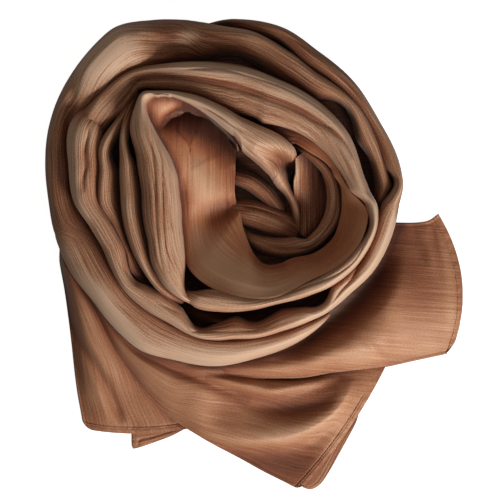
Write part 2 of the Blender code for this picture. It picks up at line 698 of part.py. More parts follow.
def main():
    """Clears the scene and makes every stretch of the scarf."""
    for item in list(bpy.data.objects):
        bpy.data.objects.remove(item)
    for name, rows, neighbours, feet, step in TURNS:
        points = turn_points(name, rows, neighbours, feet, step)
        wall_object(name, points, section_normals(points))
    for name, rows, neighbours, step in LININGS:
        points = bowl_points(rows, neighbours, step)
        wall_object(name, points, section_normals(points))
    for name, rows in ROLLS:
        points = roll_points(rows)
        wall_object(name, points, upward_normals(points))
    for name, rows, stations, steps in FLAPS:
        points = flap_points(name, rows, stations, steps)
        wall_object(name, points, upward_normals(points))
    make_core()


main()
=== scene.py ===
import math

import bpy
import numpy as np
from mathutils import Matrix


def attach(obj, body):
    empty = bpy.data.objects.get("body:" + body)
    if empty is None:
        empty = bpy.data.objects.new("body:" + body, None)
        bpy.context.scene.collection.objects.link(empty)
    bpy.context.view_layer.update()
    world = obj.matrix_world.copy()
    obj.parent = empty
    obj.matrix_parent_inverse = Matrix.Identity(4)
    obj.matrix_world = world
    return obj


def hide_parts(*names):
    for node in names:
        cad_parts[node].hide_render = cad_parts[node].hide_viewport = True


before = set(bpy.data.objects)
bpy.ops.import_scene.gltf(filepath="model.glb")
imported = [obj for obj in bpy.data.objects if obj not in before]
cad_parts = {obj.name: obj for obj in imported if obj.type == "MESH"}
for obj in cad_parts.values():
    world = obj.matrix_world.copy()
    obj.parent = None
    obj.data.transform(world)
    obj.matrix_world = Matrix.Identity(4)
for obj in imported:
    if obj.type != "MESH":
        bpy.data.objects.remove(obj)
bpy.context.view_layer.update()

# A long satin crinkle scarf laid down wound as a rose. Every stretch is a thin shell of cloth.
# Turns are described about a hub by bearing (degrees anticlockwise from +X), radius and height.
# Tables are in millimetres. A turn's section gives its bearing, then radius and height of its outer
# side, its crest and its inner side. A lining's gives its bearing, both radii and four heights, and
# an end's gives the places of both borders, its bow and five heights. Creases are placed on the
# plan: a grid of 0.7 mm squares, columns counted to the right and rows downwards, with the hub at
# column 250, row 200. Each is a path of column, row, depth and half width. Shades are strokes
# placed the same way that paint light and shade into the cloth's colour: above zero they are
# painted shade that darkens the cloth, below zero a painted highlight that makes it paler.

whole = {
    "mm": 0.001,
    "hubX": -3.2,
    "hubY": 38.1,
    "planSquare": 0.7,
    "hubColumn": 250,
    "hubRow": 200,
    "coreRadius": 88.0,
    "innerFoot": 22.8,  # height of the core, on which the turns stand
    "flankShare": 0.14,  # shares of a turn's points on its outer flank and on its inner one
    "tailShare": 0.10,
    "outerFull": 0.85,  # powers of the arcs over the crest: below 1 is fuller than a circle
    "innerFull": 1.0,
    "leastFlank": 3.0,
    "leastReach": 1.6,
    "narrowest": 4.2,
    "tuck": 1.3,  # how far an inner border is pushed into the turn beside it
    "tuckReach": 6.0,  # and from how far off it is drawn there
    "endMargin": 3.0,
    "fullness": 0.85,
    "undercut": 0.25,
    "undercutLimit": 0.35,
    "shell": 0.9,  # thickness of the cloth's shell
    "coarse": 5,  # the hidden inner side has one point for this many outer ones
    "sharp": 70,
    "mapSize": 520,  # cells of the height map along each side
    "mapShift": 60,  # cells by which its middle lies below the hub
    "paintedShadingGains": ((4, 0.034), (14, 0.012), (36, 0.004)),  # reach in cells, weight of the painted shading from heights
}

crinkle = {
    "fine": 0.10,  # height of the fine lines, either way
    "fineAcross": 1.15,
    "fineAlong": 30.0,
    "middle": 0.17,
    "middleAcross": 2.4,
    "middleAlong": 55.0,
    "pleat": 0.26,
    "pleatAcross": 5.5,
    "pleatAlong": 95.0,
    "wander": 1.2,
}


def smooth(places, values, at):
    # a limited cubic through the values: slopes are harmonic means, so it never swings past them
    x = np.asarray(places, float)
    y = np.asarray(values, float)
    gap = np.diff(x)
    rise = np.diff(y) / gap
    slope = np.zeros_like(y)
    before, after = rise[:-1], rise[1:]
    weightA = 2 * gap[1:] + gap[:-1]
    weightB = gap[1:] + 2 * gap[:-1]
    same = before * after > 0
    mean = (weightA + weightB) / (
        weightA / np.where(same, before, 1.0) + weightB / np.where(same, after, 1.0)
    )
    slope[1:-1] = np.where(same, mean, 0.0)
    slope[0], slope[-1] = rise[0], rise[-1]
    k = np.clip(np.searchsorted(x, at, side="right") - 1, 0, len(x) - 2)
    h = gap[k]
    t = (at - x[k]) / h
    return (
        y[k] * (1 + 2 * t) * (1 - t) ** 2
        + slope[k] * h * t * (1 - t) ** 2
        + y[k + 1] * t**2 * (3 - 2 * t)
        + slope[k + 1] * h * t**2 * (t - 1)
    )


def columnsOf(rows, at):
    # every column of a table after its first, read smoothly at the given places
    table = np.array(rows, float)
    return [smooth(table[:, 0], table[:, i], at) for i in range(1, table.shape[1])]


def soften(line, reach):
    # running mean over the given number of points either way, with the ends held
    if reach < 1:
        return line
    padded = np.concatenate([np.full(reach, line[0]), line, np.full(reach, line[-1])])
    total = np.cumsum(np.concatenate([[0.0], padded]))
    mean = (total[2 * reach + 1:] - total[: -2 * reach - 1]) / (2 * reach + 1)
    hold = np.minimum(np.arange(len(line)), np.arange(len(line))[::-1]) / reach
    hold = np.clip(hold, 0, 1)
    return line * (1 - hold) + mean * hold


def noise(u, v, cellU, cellV, seed):
    # value noise from -1 to 1: random corners of cells, blended with 6t^5 - 15t^4 + 10t^3
    corners = np.random.default_rng(seed).random((128, 256)) * 2 - 1
    x = u / cellU + 40.0
    y = v / cellV + 80.0
    i = np.floor(x).astype(int)
    j = np.floor(y).astype(int)
    s = x - i
    t = y - j
    s = s**3 * (s * (6 * s - 15) + 10)
    t = t**3 * (t * (6 * t - 15) + 10)
    i0, i1, j0, j1 = i % 128, (i + 1) % 128, j % 256, (j + 1) % 256
    low = corners[i0, j0] * (1 - s) + corners[i1, j0] * s
    high = corners[i0, j1] * (1 - s) + corners[i1, j1] * s
    return low * (1 - t) + high * t


def crinkleHeight(u, v, seed):
    # height of the crinkle at u along and v across, mm: three ranks of long uneven lines
    c = crinkle
    w = v + c["wander"] * noise(u, v, 42.0, 12.0, seed + 1)
    fine = noise(u, w, c["fineAlong"], c["fineAcross"], seed + 2)
    middle = noise(u, w, c["middleAlong"], c["middleAcross"], seed + 3)
    pleat = noise(u, w, c["pleatAlong"], c["pleatAcross"], seed + 4)
    strong = 0.7 + 0.3 * noise(u, v, 60.0, 22.0, seed + 5)
    return strong * (c["fine"] * fine + c["middle"] * middle), c["pleat"] * pleat


def toPlan(points):
    # columns and rows of the plan as millimetres about the hub
    p = np.array(points, float)
    x = (p[:, 0] - whole["hubColumn"]) * whole["planSquare"]
    y = (whole["hubRow"] - p[:, 1]) * whole["planSquare"]
    return x, y, p[:, 2], p[:, 3]


def creaseDepth(x, y, creases):
    # depth of all creases at each point: along each one's path a trough (or ridge, if negative)
    # exp(-|d|) where it is sharp and exp(-d^2) where it is soft, d being distance over half width;
    # a number after the path widens the side on the path's left by that much
    depth = np.zeros(x.shape)
    for kind, points, *more in creases:
        px, py, deep, half = toPlan(points)
        run = np.concatenate([[0], np.cumsum(np.hypot(np.diff(px), np.diff(py)))])
        at = np.linspace(0, run[-1], 8 * len(points))
        lx, ly, ld, lh = (smooth(run, c, at) for c in (px, py, deep, half))
        reach = 4 * lh.max() * max([1.0, *more])
        near = (x > lx.min() - reach) & (x < lx.max() + reach)
        near &= (y > ly.min() - reach) & (y < ly.max() + reach)
        if not near.any():
            continue
        qx, qy = x[near][:, None], y[near][:, None]
        ax, ay = lx[:-1], ly[:-1]
        bx, by = np.diff(lx), np.diff(ly)
        t = ((qx - ax) * bx + (qy - ay) * by) / (bx * bx + by * by)
        t = np.clip(t, 0, 1)
        away = np.hypot(qx - ax - t * bx, qy - ay - t * by)
        k = away.argmin(axis=1)
        pick = np.arange(len(k))
        share = k + t[pick, k]
        d = away[pick, k] / np.interp(share, np.arange(len(lh)), lh)
        shape = np.exp(-d) if kind == "sharp" else np.exp(-d * d)
        if more:
            side = bx[k] * (qy[:, 0] - ay[k]) - by[k] * (qx[:, 0] - ax[k])
            d = np.where(side > 0, d / more[0], d)
            shape = np.exp(-d) if kind == "sharp" else np.exp(-d * d)
        depth[near] += np.interp(share, np.arange(len(ld)), ld) * shape
    return depth


def outerLine(rows, bearing):
    # the outer border of a turn at any bearing, and nothing beyond its ends
    table = np.array(rows, float)
    best = np.full_like(bearing, -1.0)
    for full in (-360, 0, 360):
        at = bearing + full
        inside = at >= table[0, 0] - whole["endMargin"]
        inside &= at <= table[-1, 0] + whole["endMargin"]
        line = smooth(table[:, 0], table[:, 1], np.clip(at, table[0, 0], table[-1, 0]))
        best = np.where(inside, np.maximum(best, line), best)
    return best


def ease(t):
    # smooth step from 0 to 1
    t = np.clip(t, 0, 1)
    return t * t * (3 - 2 * t)


def snugTo(inner, outer, bearing, neighbours):
    # an inner border that comes near the outer border of a turn inside it is tucked just into it
    for rows in neighbours:
        line = outerLine(rows, bearing)
        inside = line < outer - 0.5 * whole["narrowest"]
        gap = np.maximum(inner - line, 1.0)
        pull = (1 + whole["tuck"]) * ease((whole["tuckReach"] - gap) / (whole["tuckReach"] - 1))
        inner = np.where(inside, line + gap - pull, inner)
    return soften(inner, round(2.0 / (bearing[1] - bearing[0])))


def aboutHub(radius, bearing, z):
    # polar places about the hub as x, y, z
    turn = np.radians(bearing)
    return np.stack(
        np.broadcast_arrays(radius * np.cos(turn), radius * np.sin(turn), z), axis=-1
    )


def unitNormals(points):
    # cross product of the two grid directions, pointing up on the whole
    normal = np.cross(np.gradient(points, axis=0), np.gradient(points, axis=1))
    normal /= np.maximum(np.linalg.norm(normal, axis=2, keepdims=True), 1e-9)
    return normal * np.sign(normal[..., 2].mean())


def stepLengths(points, axis):
    # running length along one direction of the grid
    step = np.linalg.norm(np.diff(points, axis=axis), axis=2)
    pad = [(0, 0), (0, 0)]
    pad[axis] = (1, 0)
    return np.cumsum(np.pad(step, pad), axis=axis)


def dressed(points, piece, fade):
    # pleats and crinkle lines added along the normals; fade keeps them off the hidden borders
    if piece.get("drape"):
        u, across = piece["drape"](points)
    else:
        u = stepLengths(points, 0).mean(axis=1)[:, None]
        width = stepLengths(points, 1)
        share = width / width[:, -1:]
        across = share * (0.75 * width[:, -1:].mean() + 0.25 * width[:, -1:])
        u = u + np.zeros_like(across)
    lines, pleats = crinkleHeight(u, across, piece["seed"])
    normal = unitNormals(points)
    body = points + normal * (fade * pleats * piece.get("pleats", 1.0))[..., None]
    skin = body + normal * (fade * lines)[..., None]
    uv = np.stack([u, across], axis=-1) * whole["mm"]
    return skin, body, normal, uv


def heightMap(skins):
    # heights of all the cloth on a grid of planSquare cells, each cell holding its highest point
    size, shift = whole["mapSize"], whole["mapShift"]
    field = np.zeros((size, size))
    cell = whole["planSquare"]
    for skin in skins:
        i = np.clip((skin[..., 0] / cell + size / 2).astype(int), 0, size - 1)
        j = np.clip((skin[..., 1] / cell + size / 2 + shift).astype(int), 0, size - 1)
        np.maximum.at(field, (i.ravel(), j.ravel()), skin[..., 2].ravel())
    return field


def blurred(field, reach):
    # three running means along each direction, nearly a bell of that reach
    for axis in (0, 1) * 3:
        total = np.cumsum(np.insert(np.swapaxes(field, 0, axis), 0, 0, axis=0), axis=0)
        width = 2 * reach + 1
        middle = (total[width:] - total[:-width]) / width
        rows = len(total) - 1
        full = np.empty((rows,) + middle.shape[1:])
        full[reach:rows - reach] = middle
        full[:reach] = middle[0]
        full[rows - reach:] = middle[-1]
        field = np.swapaxes(full, 0, axis)
    return field


def paintedShadingOf(skin, fields):
    # painted shading: 0.5 where the cloth is level with what is round it, towards 1 on crests
    # as a painted highlight and 0 in creases as painted shade
    middle = whole["mapSize"] / 2
    x = skin[..., 0] / whole["planSquare"] + middle - 0.5
    y = skin[..., 1] / whole["planSquare"] + middle + whole["mapShift"] - 0.5
    i, j = np.floor(x).astype(int), np.floor(y).astype(int)
    s, t = x - i, y - j
    total = np.full(x.shape, 0.5)
    for field, gain in fields:
        level = (field[i, j] * (1 - s) + field[i + 1, j] * s) * (1 - t)
        level += (field[i, j + 1] * (1 - s) + field[i + 1, j + 1] * s) * t
        total += gain * (skin[..., 2] - level)
    return np.clip(total, 0, 1)


def clothShell(name, skin, body, normal, uv, paintedShading):
    # closed shell: the fine outer grid, a coarse inner one under it, and a rim that joins them
    k = whole["coarse"]
    inner = (body - normal * whole["shell"])[::k, ::k]
    inner[..., 2] = np.maximum(inner[..., 2], 0.05)
    skin = skin.copy()
    skin[..., 2] = np.maximum(skin[..., 2], 0.1)
    rows, cols = skin.shape[:2]
    fine = np.arange(rows * cols).reshape(rows, cols)
    less = np.arange(inner.shape[0] * inner.shape[1]).reshape(inner.shape[:2]) + fine.size

    def quads(grid):
        return np.stack(
            [grid[:-1, :-1], grid[1:, :-1], grid[1:, 1:], grid[:-1, 1:]], axis=-1
        ).reshape(-1, 4)

    outFaces = quads(fine)
    inFaces = quads(less)[:, ::-1]
    rims = []
    for edge, under in (
        (fine[0], less[0]),
        (fine[-1, ::-1], less[-1, ::-1]),
        (fine[::-1, 0], less[::-1, 0]),
        (fine[:, -1], less[:, -1]),
    ):
        parts = np.stack([edge[i:len(edge) - k + i:k] for i in range(k)] + [edge[k::k]])
        rims.append(np.vstack([parts, under[None, 1:], under[None, :-1]]).T)
    rim = np.concatenate(rims)
    a, b, c = (skin.reshape(-1, 3)[outFaces[:, i]] for i in (0, 1, 2))
    if np.cross(b - a, c - a)[:, 2].sum() < 0:
        outFaces, inFaces, rim = outFaces[:, ::-1], inFaces[:, ::-1], rim[:, ::-1]
    loops = np.concatenate([outFaces.ravel(), inFaces.ravel(), rim.ravel()])
    sizes = np.concatenate(
        [np.full(len(outFaces) + len(inFaces), 4), np.full(len(rim), rim.shape[1])]
    )
    points = np.concatenate([skin.reshape(-1, 3), inner.reshape(-1, 3)])
    points[:, 0] += whole["hubX"]
    points[:, 1] += whole["hubY"]
    places = np.concatenate([uv.reshape(-1, 2), uv[::k, ::k].reshape(-1, 2)])
    # the hidden inner side is given half the painted shading, painted darker as shade under the
    # cloth
    paintedShadingValues = np.concatenate([paintedShading.ravel(), 0.5 * paintedShading[::k, ::k].ravel()])
    return meshOf(name, points * whole["mm"], loops, sizes, places, paintedShadingValues)


def meshOf(name, points, loops, sizes, places, paintedShadingValues):
    # one mesh object from arrays of points, corners, face sizes, flat places and painted shading
    mesh = bpy.data.meshes.new(name)
    mesh.vertices.add(len(points))
    mesh.vertices.foreach_set("co", points.astype(np.float32).ravel())
    mesh.loops.add(len(loops))
    mesh.loops.foreach_set("vertex_index", loops.astype(np.int32))
    mesh.polygons.add(len(sizes))
    starts = np.concatenate([[0], np.cumsum(sizes)[:-1]])
    mesh.polygons.foreach_set("loop_start", starts.astype(np.int32))
    mesh.polygons.foreach_set("loop_total", sizes.astype(np.int32))
    layer = mesh.uv_layers.new(name="flat")
    mesh.update(calc_edges=True)
    layer.data.foreach_set("uv", places[loops].astype(np.float32).ravel())
    # each point keeps its painted shading for the satin's colour
    paintedShading = mesh.attributes.new("paintedShading", "FLOAT", "POINT")
    paintedShading.data.foreach_set("value", paintedShadingValues.astype(np.float32))
    mesh.validate()
    mesh.shade_smooth()
    mesh.set_sharp_from_angle(angle=math.radians(whole["sharp"]))
    item = bpy.data.objects.new(name, mesh)
    bpy.context.scene.collection.objects.link(item)
    return item


def turnSurface(piece):
    # a standing turn: outer flank drawn in towards its foot by (1 - t)^2.4, two quarter
    # super-ellipse arcs over the crest, and an inner flank; then its creases are pressed in
    rows = piece["sections"]
    count = piece["along"]
    bearing = np.linspace(rows[0][0], rows[-1][0], count)
    reach = round(piece.get("soften", 1.2) / (bearing[1] - bearing[0]))
    outer, outerZ, crest, crestZ, inner, innerZ = (
        soften(c, reach) for c in columnsOf(rows, bearing)
    )
    inner = snugTo(inner, outer, bearing, [p["sections"] for p in piece["inside"]])
    inner = np.minimum(inner, outer - whole["narrowest"])
    crest = np.clip(crest, inner + whole["leastReach"], outer - whole["leastReach"])
    across = piece["across"]
    nFlank, nTail = round(across * whole["flankShare"]), round(across * whole["tailShare"])
    nArcs = across - nFlank - nTail
    arc = np.linspace(-1, 1, nArcs)
    out = arc < 0
    full = np.where(out, whole["outerFull"], whole["innerFull"])
    bend = np.abs(np.sin(arc * math.pi / 2)) ** full
    lift = np.abs(np.cos(arc * math.pi / 2)) ** full
    lift[0] = lift[-1] = 0.0
    span = np.where(out, (outer - crest)[:, None], (inner - crest)[:, None])
    edgeZ = np.where(out, outerZ[:, None], innerZ[:, None])
    arcR = crest[:, None] + span * bend
    arcZ = edgeZ + (crestZ[:, None] - edgeZ) * lift
    footZ = np.full(count, whole["innerFoot"])
    if piece.get("feet"):
        footZ = soften(columnsOf(piece["feet"], bearing)[0], reach)
    offCore = np.clip(2 * (1 - footZ / whole["innerFoot"]), 0, 1)
    tuck = whole["undercut"] * offCore * (outerZ - footZ)
    tuck = np.clip(tuck, 0, whole["undercutLimit"] * (outer - inner))
    t = np.linspace(0, 1, nFlank + 1)[:-1]
    flankR = outer[:, None] - tuck[:, None] * (1 - t) ** 2.4
    flankZ = footZ[:, None] + (outerZ - footZ)[:, None] * t
    endZ = np.minimum(whole["innerFoot"], innerZ - whole["leastFlank"])
    s = np.linspace(0, 1, nTail + 1)[1:]
    tailR = inner[:, None] + 0 * s
    tailZ = innerZ[:, None] + (endZ - innerZ)[:, None] * s
    radius = np.concatenate([flankR, arcR, tailR], axis=1)
    z = np.concatenate([flankZ, arcZ, tailZ], axis=1)
    points = aboutHub(radius, bearing[:, None], z)
    weight = np.concatenate([0 * t, np.clip(2.2 * lift, 0, 1), 0 * s])
    creases = piece.get("creases", [])
    points[..., 2] -= weight * creaseDepth(points[..., 0], points[..., 1], creases)
    fade = np.concatenate([0.3 + 0.7 * t, np.ones(nArcs), 1 - s])
    ends = np.clip(np.minimum(np.arange(count), np.arange(count)[::-1]) / 6, 0, 1)
    return points, ends[:, None] * fade[None, :]


def bowlSurface(piece):
    # a lining layer: a smooth slope through four heights from its outer to its inner border
    rows = piece["sections"]
    bearing = np.linspace(rows[0][0], rows[-1][0], piece["along"])
    reach = round(piece.get("soften", 1.5) / (bearing[1] - bearing[0]))
    outer, inner, *heights = (soften(c, reach) for c in columnsOf(rows, bearing))
    calm = round(piece.get("calm", 0) / (bearing[1] - bearing[0]))
    heights = [soften(h, calm) for h in heights]
    inner = snugTo(inner, outer, bearing, [p["sections"] for p in piece["inside"]])
    share = np.linspace(0, 1, piece["across"])
    radius = outer[:, None] + (inner - outer)[:, None] * share
    z = crossCurve(heights, share)
    points = aboutHub(radius, bearing[:, None], z)
    points[..., 2] -= creaseDepth(points[..., 0], points[..., 1], piece.get("creases", []))
    fade = np.clip(np.minimum(share, 1 - share) / 0.02, 0, 1)
    return points, np.broadcast_to(fade, z.shape)


def crossCurve(heights, share):
    # Catmull-Rom through evenly spaced heights, for all sections at once
    h = np.array(heights)
    last = len(h) - 1
    at = share * last
    k = np.clip(np.floor(at).astype(int), 0, last - 1)
    t = at - k
    p1, p2 = h[k], h[k + 1]
    p0 = np.where((k > 0)[:, None], h[np.maximum(k - 1, 0)], 2 * p1 - p2)
    p3 = np.where((k < last - 1)[:, None], h[np.minimum(k + 2, last)], 2 * p2 - p1)
    t = t[:, None]
    z = 0.5 * (
        2 * p1
        + (p2 - p0) * t
        + (2 * p0 - 5 * p1 + 4 * p2 - p3) * t**2
        + (3 * p1 - p0 - 3 * p2 + p3) * t**3
    )
    return z.T


def flapSurface(piece):
    # an end that lies out: straight sections from its upper to its lower border, bowed by
    # 4 s (1 - s) and raised through five heights; hems and creases are then added
    rows = np.array(piece["sections"], float)
    place = np.arange(len(rows), dtype=float)
    at = np.linspace(0, place[-1], piece["along"])
    reach = round(0.35 / (at[1] - at[0]))
    c = [soften(smooth(place, rows[:, i], at), reach) for i in range(rows.shape[1])]
    share = np.linspace(0, 1, piece["across"])
    start = np.stack([c[0], c[1]], axis=-1)
    chord = np.stack([c[2], c[3]], axis=-1) - start
    width = np.linalg.norm(chord, axis=1, keepdims=True)
    aside = np.stack([-chord[:, 1], chord[:, 0]], axis=-1) / width
    bow = c[4][:, None] * 4 * share * (1 - share)
    xy = start[:, None] + chord[:, None] * share[:, None] + aside[:, None] * bow[..., None]
    xy = rounded(xy, piece.get("corners", ()))
    z = crossCurve(c[5:], share)
    points = np.concatenate([xy, z[..., None]], axis=2)
    points[..., 2] -= creaseDepth(xy[..., 0], xy[..., 1], piece.get("creases", []))
    points[..., 2] = np.maximum(points[..., 2], whole["shell"] + 0.2)
    points[..., 2] += edging(points, piece)
    fade = np.clip(np.minimum(share, 1 - share) / 0.015, 0, 1)
    return points, np.broadcast_to(fade, z.shape)


def rounded(xy, corners):
    # corners at the end drawn in to an arc: a square patch mapped to a disc, a sqrt(1 - b^2 / 2)
    for side, reach in corners:
        fromEnd = stepLengths(xy[::-1], 0)[::-1]
        fromSide = stepLengths(xy, 1) if side == 0 else stepLengths(xy[:, ::-1], 1)[:, ::-1]
        a = np.clip(1 - fromEnd / reach, 0, 1)
        b = np.clip(1 - fromSide / reach, 0, 1)
        at, step = (0, 9) if side == 0 else (-1, -10)
        onward = xy[-1, at] - xy[-9, at]
        outward = xy[-1, at] - xy[-1, step]
        onward = onward / np.linalg.norm(onward)
        outward = outward / np.linalg.norm(outward)
        moveA = reach * a * (1 - np.sqrt(1 - b * b / 2))
        moveB = reach * b * (1 - np.sqrt(1 - a * a / 2))
        xy = xy - moveA[..., None] * onward - moveB[..., None] * outward
    return xy


hemming = {
    "rise": 0.65,  # step up onto the turned hem
    "groove": 0.25,
    "stitchPitch": 2.3,
    "stitchSlant": 0.9,
    "stitchDepth": 0.75,
    "rowDepth": 0.12,
    "waveLength": 7.9,
    "wave": 0.12,
    "rolledRise": 0.5,  # narrow rolled hems at the sides
    "rolledGroove": 0.35,
}


def edging(points, piece):
    # a turned hem at the end with a row of slanted stitches, and narrow rolled hems at the sides
    height = np.zeros(points.shape[:2])
    h = hemming
    if piece.get("hem"):
        fromEnd = stepLengths(points, 0)
        fromEnd = fromEnd[-1:] - fromEnd
        place = stepLengths(points, 1)[-1:]
        wide = piece["hem"]
        seen = ease((place - piece.get("hemFrom", -9)) / 8)
        height += seen * h["rise"] * ease((wide + 0.5 - fromEnd) / 0.7)
        height -= seen * h["groove"] * np.exp(-(((fromEnd - wide - 0.6) / 0.7) ** 2))
        row = np.exp(-(((fromEnd - wide + 0.9) / 1.0) ** 2))
        slanted = place + h["stitchSlant"] * fromEnd
        stitch = 0.5 + 0.5 * np.cos(slanted * 2 * math.pi / h["stitchPitch"])
        height -= seen * row * (h["rowDepth"] + h["stitchDepth"] * stitch**2)
        wave = np.cos(place * 2 * math.pi / h["waveLength"])
        height += h["wave"] * wave * ease((wide + 2 - fromEnd) / 3)
    for side in piece.get("rolled", ()):
        width = stepLengths(points, 1)
        away = width if side == 0 else width[:, -1:] - width
        height += h["rolledRise"] * np.exp(-(((away - 1.0) / 0.8) ** 2))
        height -= h["rolledGroove"] * np.exp(-(((away - 2.4) / 0.6) ** 2))
    return height


def rollSurface(piece):
    # a small roll: a half super-ellipse over a spine, drawn in at both ends
    rows = np.array(piece["sections"], float)
    run = np.linalg.norm(np.diff(rows[:, :2], axis=0), axis=1)
    place = np.concatenate([[0], np.cumsum(run)])
    at = np.linspace(0, place[-1], piece["along"])
    x, y, half, top = (smooth(place, rows[:, i], at) for i in range(4))
    way = np.gradient(np.stack([x, y], axis=-1), axis=0)
    way /= np.linalg.norm(way, axis=1, keepdims=True)
    turn = np.linspace(0, math.pi, piece["across"])
    offset = half[:, None] * np.cos(turn)
    low = whole["innerFoot"]
    z = low + (top[:, None] - low) * np.sin(turn) ** whole["fullness"]
    points = np.stack(
        [x[:, None] - way[:, 1:] * offset, y[:, None] + way[:, :1] * offset, z], axis=-1
    )
    points[..., 2] -= creaseDepth(points[..., 0], points[..., 1], piece.get("creases", []))
    fade = np.clip(np.sin(turn) * 3, 0, 1)
    return points, np.broadcast_to(fade, z.shape)


outerTurn = {
    "sections": [
        (-213, 130.8, 34, 124, 46, 117, 38),
        (-203, 136.5, 44, 123, 58, 114, 50),
        (-190, 128.5, 44, 118, 60, 108.4, 50),
        (-180, 123.5, 44, 115.5, 60, 107.7, 50),
        (-170, 113, 44, 106, 60, 99.7, 50),
        (-160, 108, 44, 102.5, 60, 96, 50),
        (-147, 108.2, 46, 104.5, 60, 100.2, 50),
        (-133, 105.3, 46, 98, 60, 90.5, 50),
        (-122, 102.6, 46, 97.8, 60, 90, 48),
        (-112, 103, 47, 100.4, 60, 96.8, 50),
        (-104, 101, 46, 97.4, 60, 88, 47),
        (-96, 97.6, 46, 94.2, 60, 82, 45),
        (-88, 96.6, 46, 93.6, 60, 85.5, 47),
        (-74, 94.2, 46, 90.6, 60, 79.6, 46),
        (-65, 94.3, 44, 90.4, 60, 82.5, 48),
        (-56, 95.3, 40, 92.5, 58, 88.5, 50),
        (-45, 95.6, 38, 90, 60, 83.9, 54),
        (-30, 99.5, 38, 94.5, 60, 88.5, 54),
        (-12, 102.4, 38, 97, 60, 90.9, 54),
        (-3, 103.8, 38, 99.0, 60, 92.4, 52),
        (7, 107.8, 36, 106, 57, 103, 48),
        (15, 107.5, 34, 103, 54, 98, 44),
        (30, 106, 30, 102.5, 51, 98.5, 42),
        (50, 110.5, 28, 106, 48, 100.6, 40),
        (65, 114.5, 26, 108.5, 46, 102.3, 38),
        (80, 123.5, 20, 119, 42, 114.2, 34),
        (92, 127, 14, 124, 32, 120.3, 26),
        (98, 128.2, 10, 126, 24, 123.8, 20),
        (105.5, 127.4, 8, 125, 17, 122.6, 14),
        (113, 125.0, 4, 121, 10, 117.0, 6),
    ],
    "feet": [
        (-213, 22.8),
        (-66, 22.8),
        (-60, 14.0),
        (-45, 12.4),
        (-30, 11.4),
        (-12, 10.4),
        (-5, 8.4),
        (1, 0),
        (113, 0),
    ],
    "creases": [
        ("sharp", [(90, 124, 0, 1.6), (88, 138, 2.6, 1.8), (86, 152, 4, 1.6), (87, 165, 3.6, 1.6),
                   (84, 182, 3, 1.6), (85, 194, 0, 1.6)]),
        ("sharp", [(371, 246, 0, 1.6), (360, 262, 2.6, 1.8), (352, 278, 3.2, 1.8),
                   (340, 291, 3.0, 1.8), (330, 305, 0, 1.6)]),
        ("sharp", [(79, 198, 0, 1.2), (94, 222, 1.5, 1.4), (109, 245, 1.6, 1.4),
                   (124, 268, 1.3, 1.2), (142, 288, 0, 1.0)]),
        ("soft", [(240, 20, 0, 1.6), (275, 31, 1.2, 1.6), (310, 51, 1.5, 1.6), (345, 79, 1.5, 1.6),
                  (370, 112, 1.2, 1.6), (390, 150, 0, 1.6)]),
        ("sharp", [(150, 300, 0, 1.2), (178, 312, 1.2, 1.2), (192, 331, 1.2, 1.2),
                   (220, 331, 1.1, 1.2), (250, 330, 0.8, 1.2), (285, 320, 0, 1.0)]),
    ],
    "shades": [
        ("soft", [(180, 330, 0, 4), (215, 334, 0.12, 6), (250, 332, 0.14, 6),
                  (290, 324, 0.10, 6), (318, 312, 0, 4)]),
        ("soft", [(215, 24, 0, 6), (265, 32, 0.05, 6), (330, 80, 0.10, 6), (385, 150, 0.10, 6),
                  (398, 178, 0, 5)]),
    ],
    "along": 760,
    "across": 76,
    "seed": 20,
    "flat": (0.075, 0.61),
}

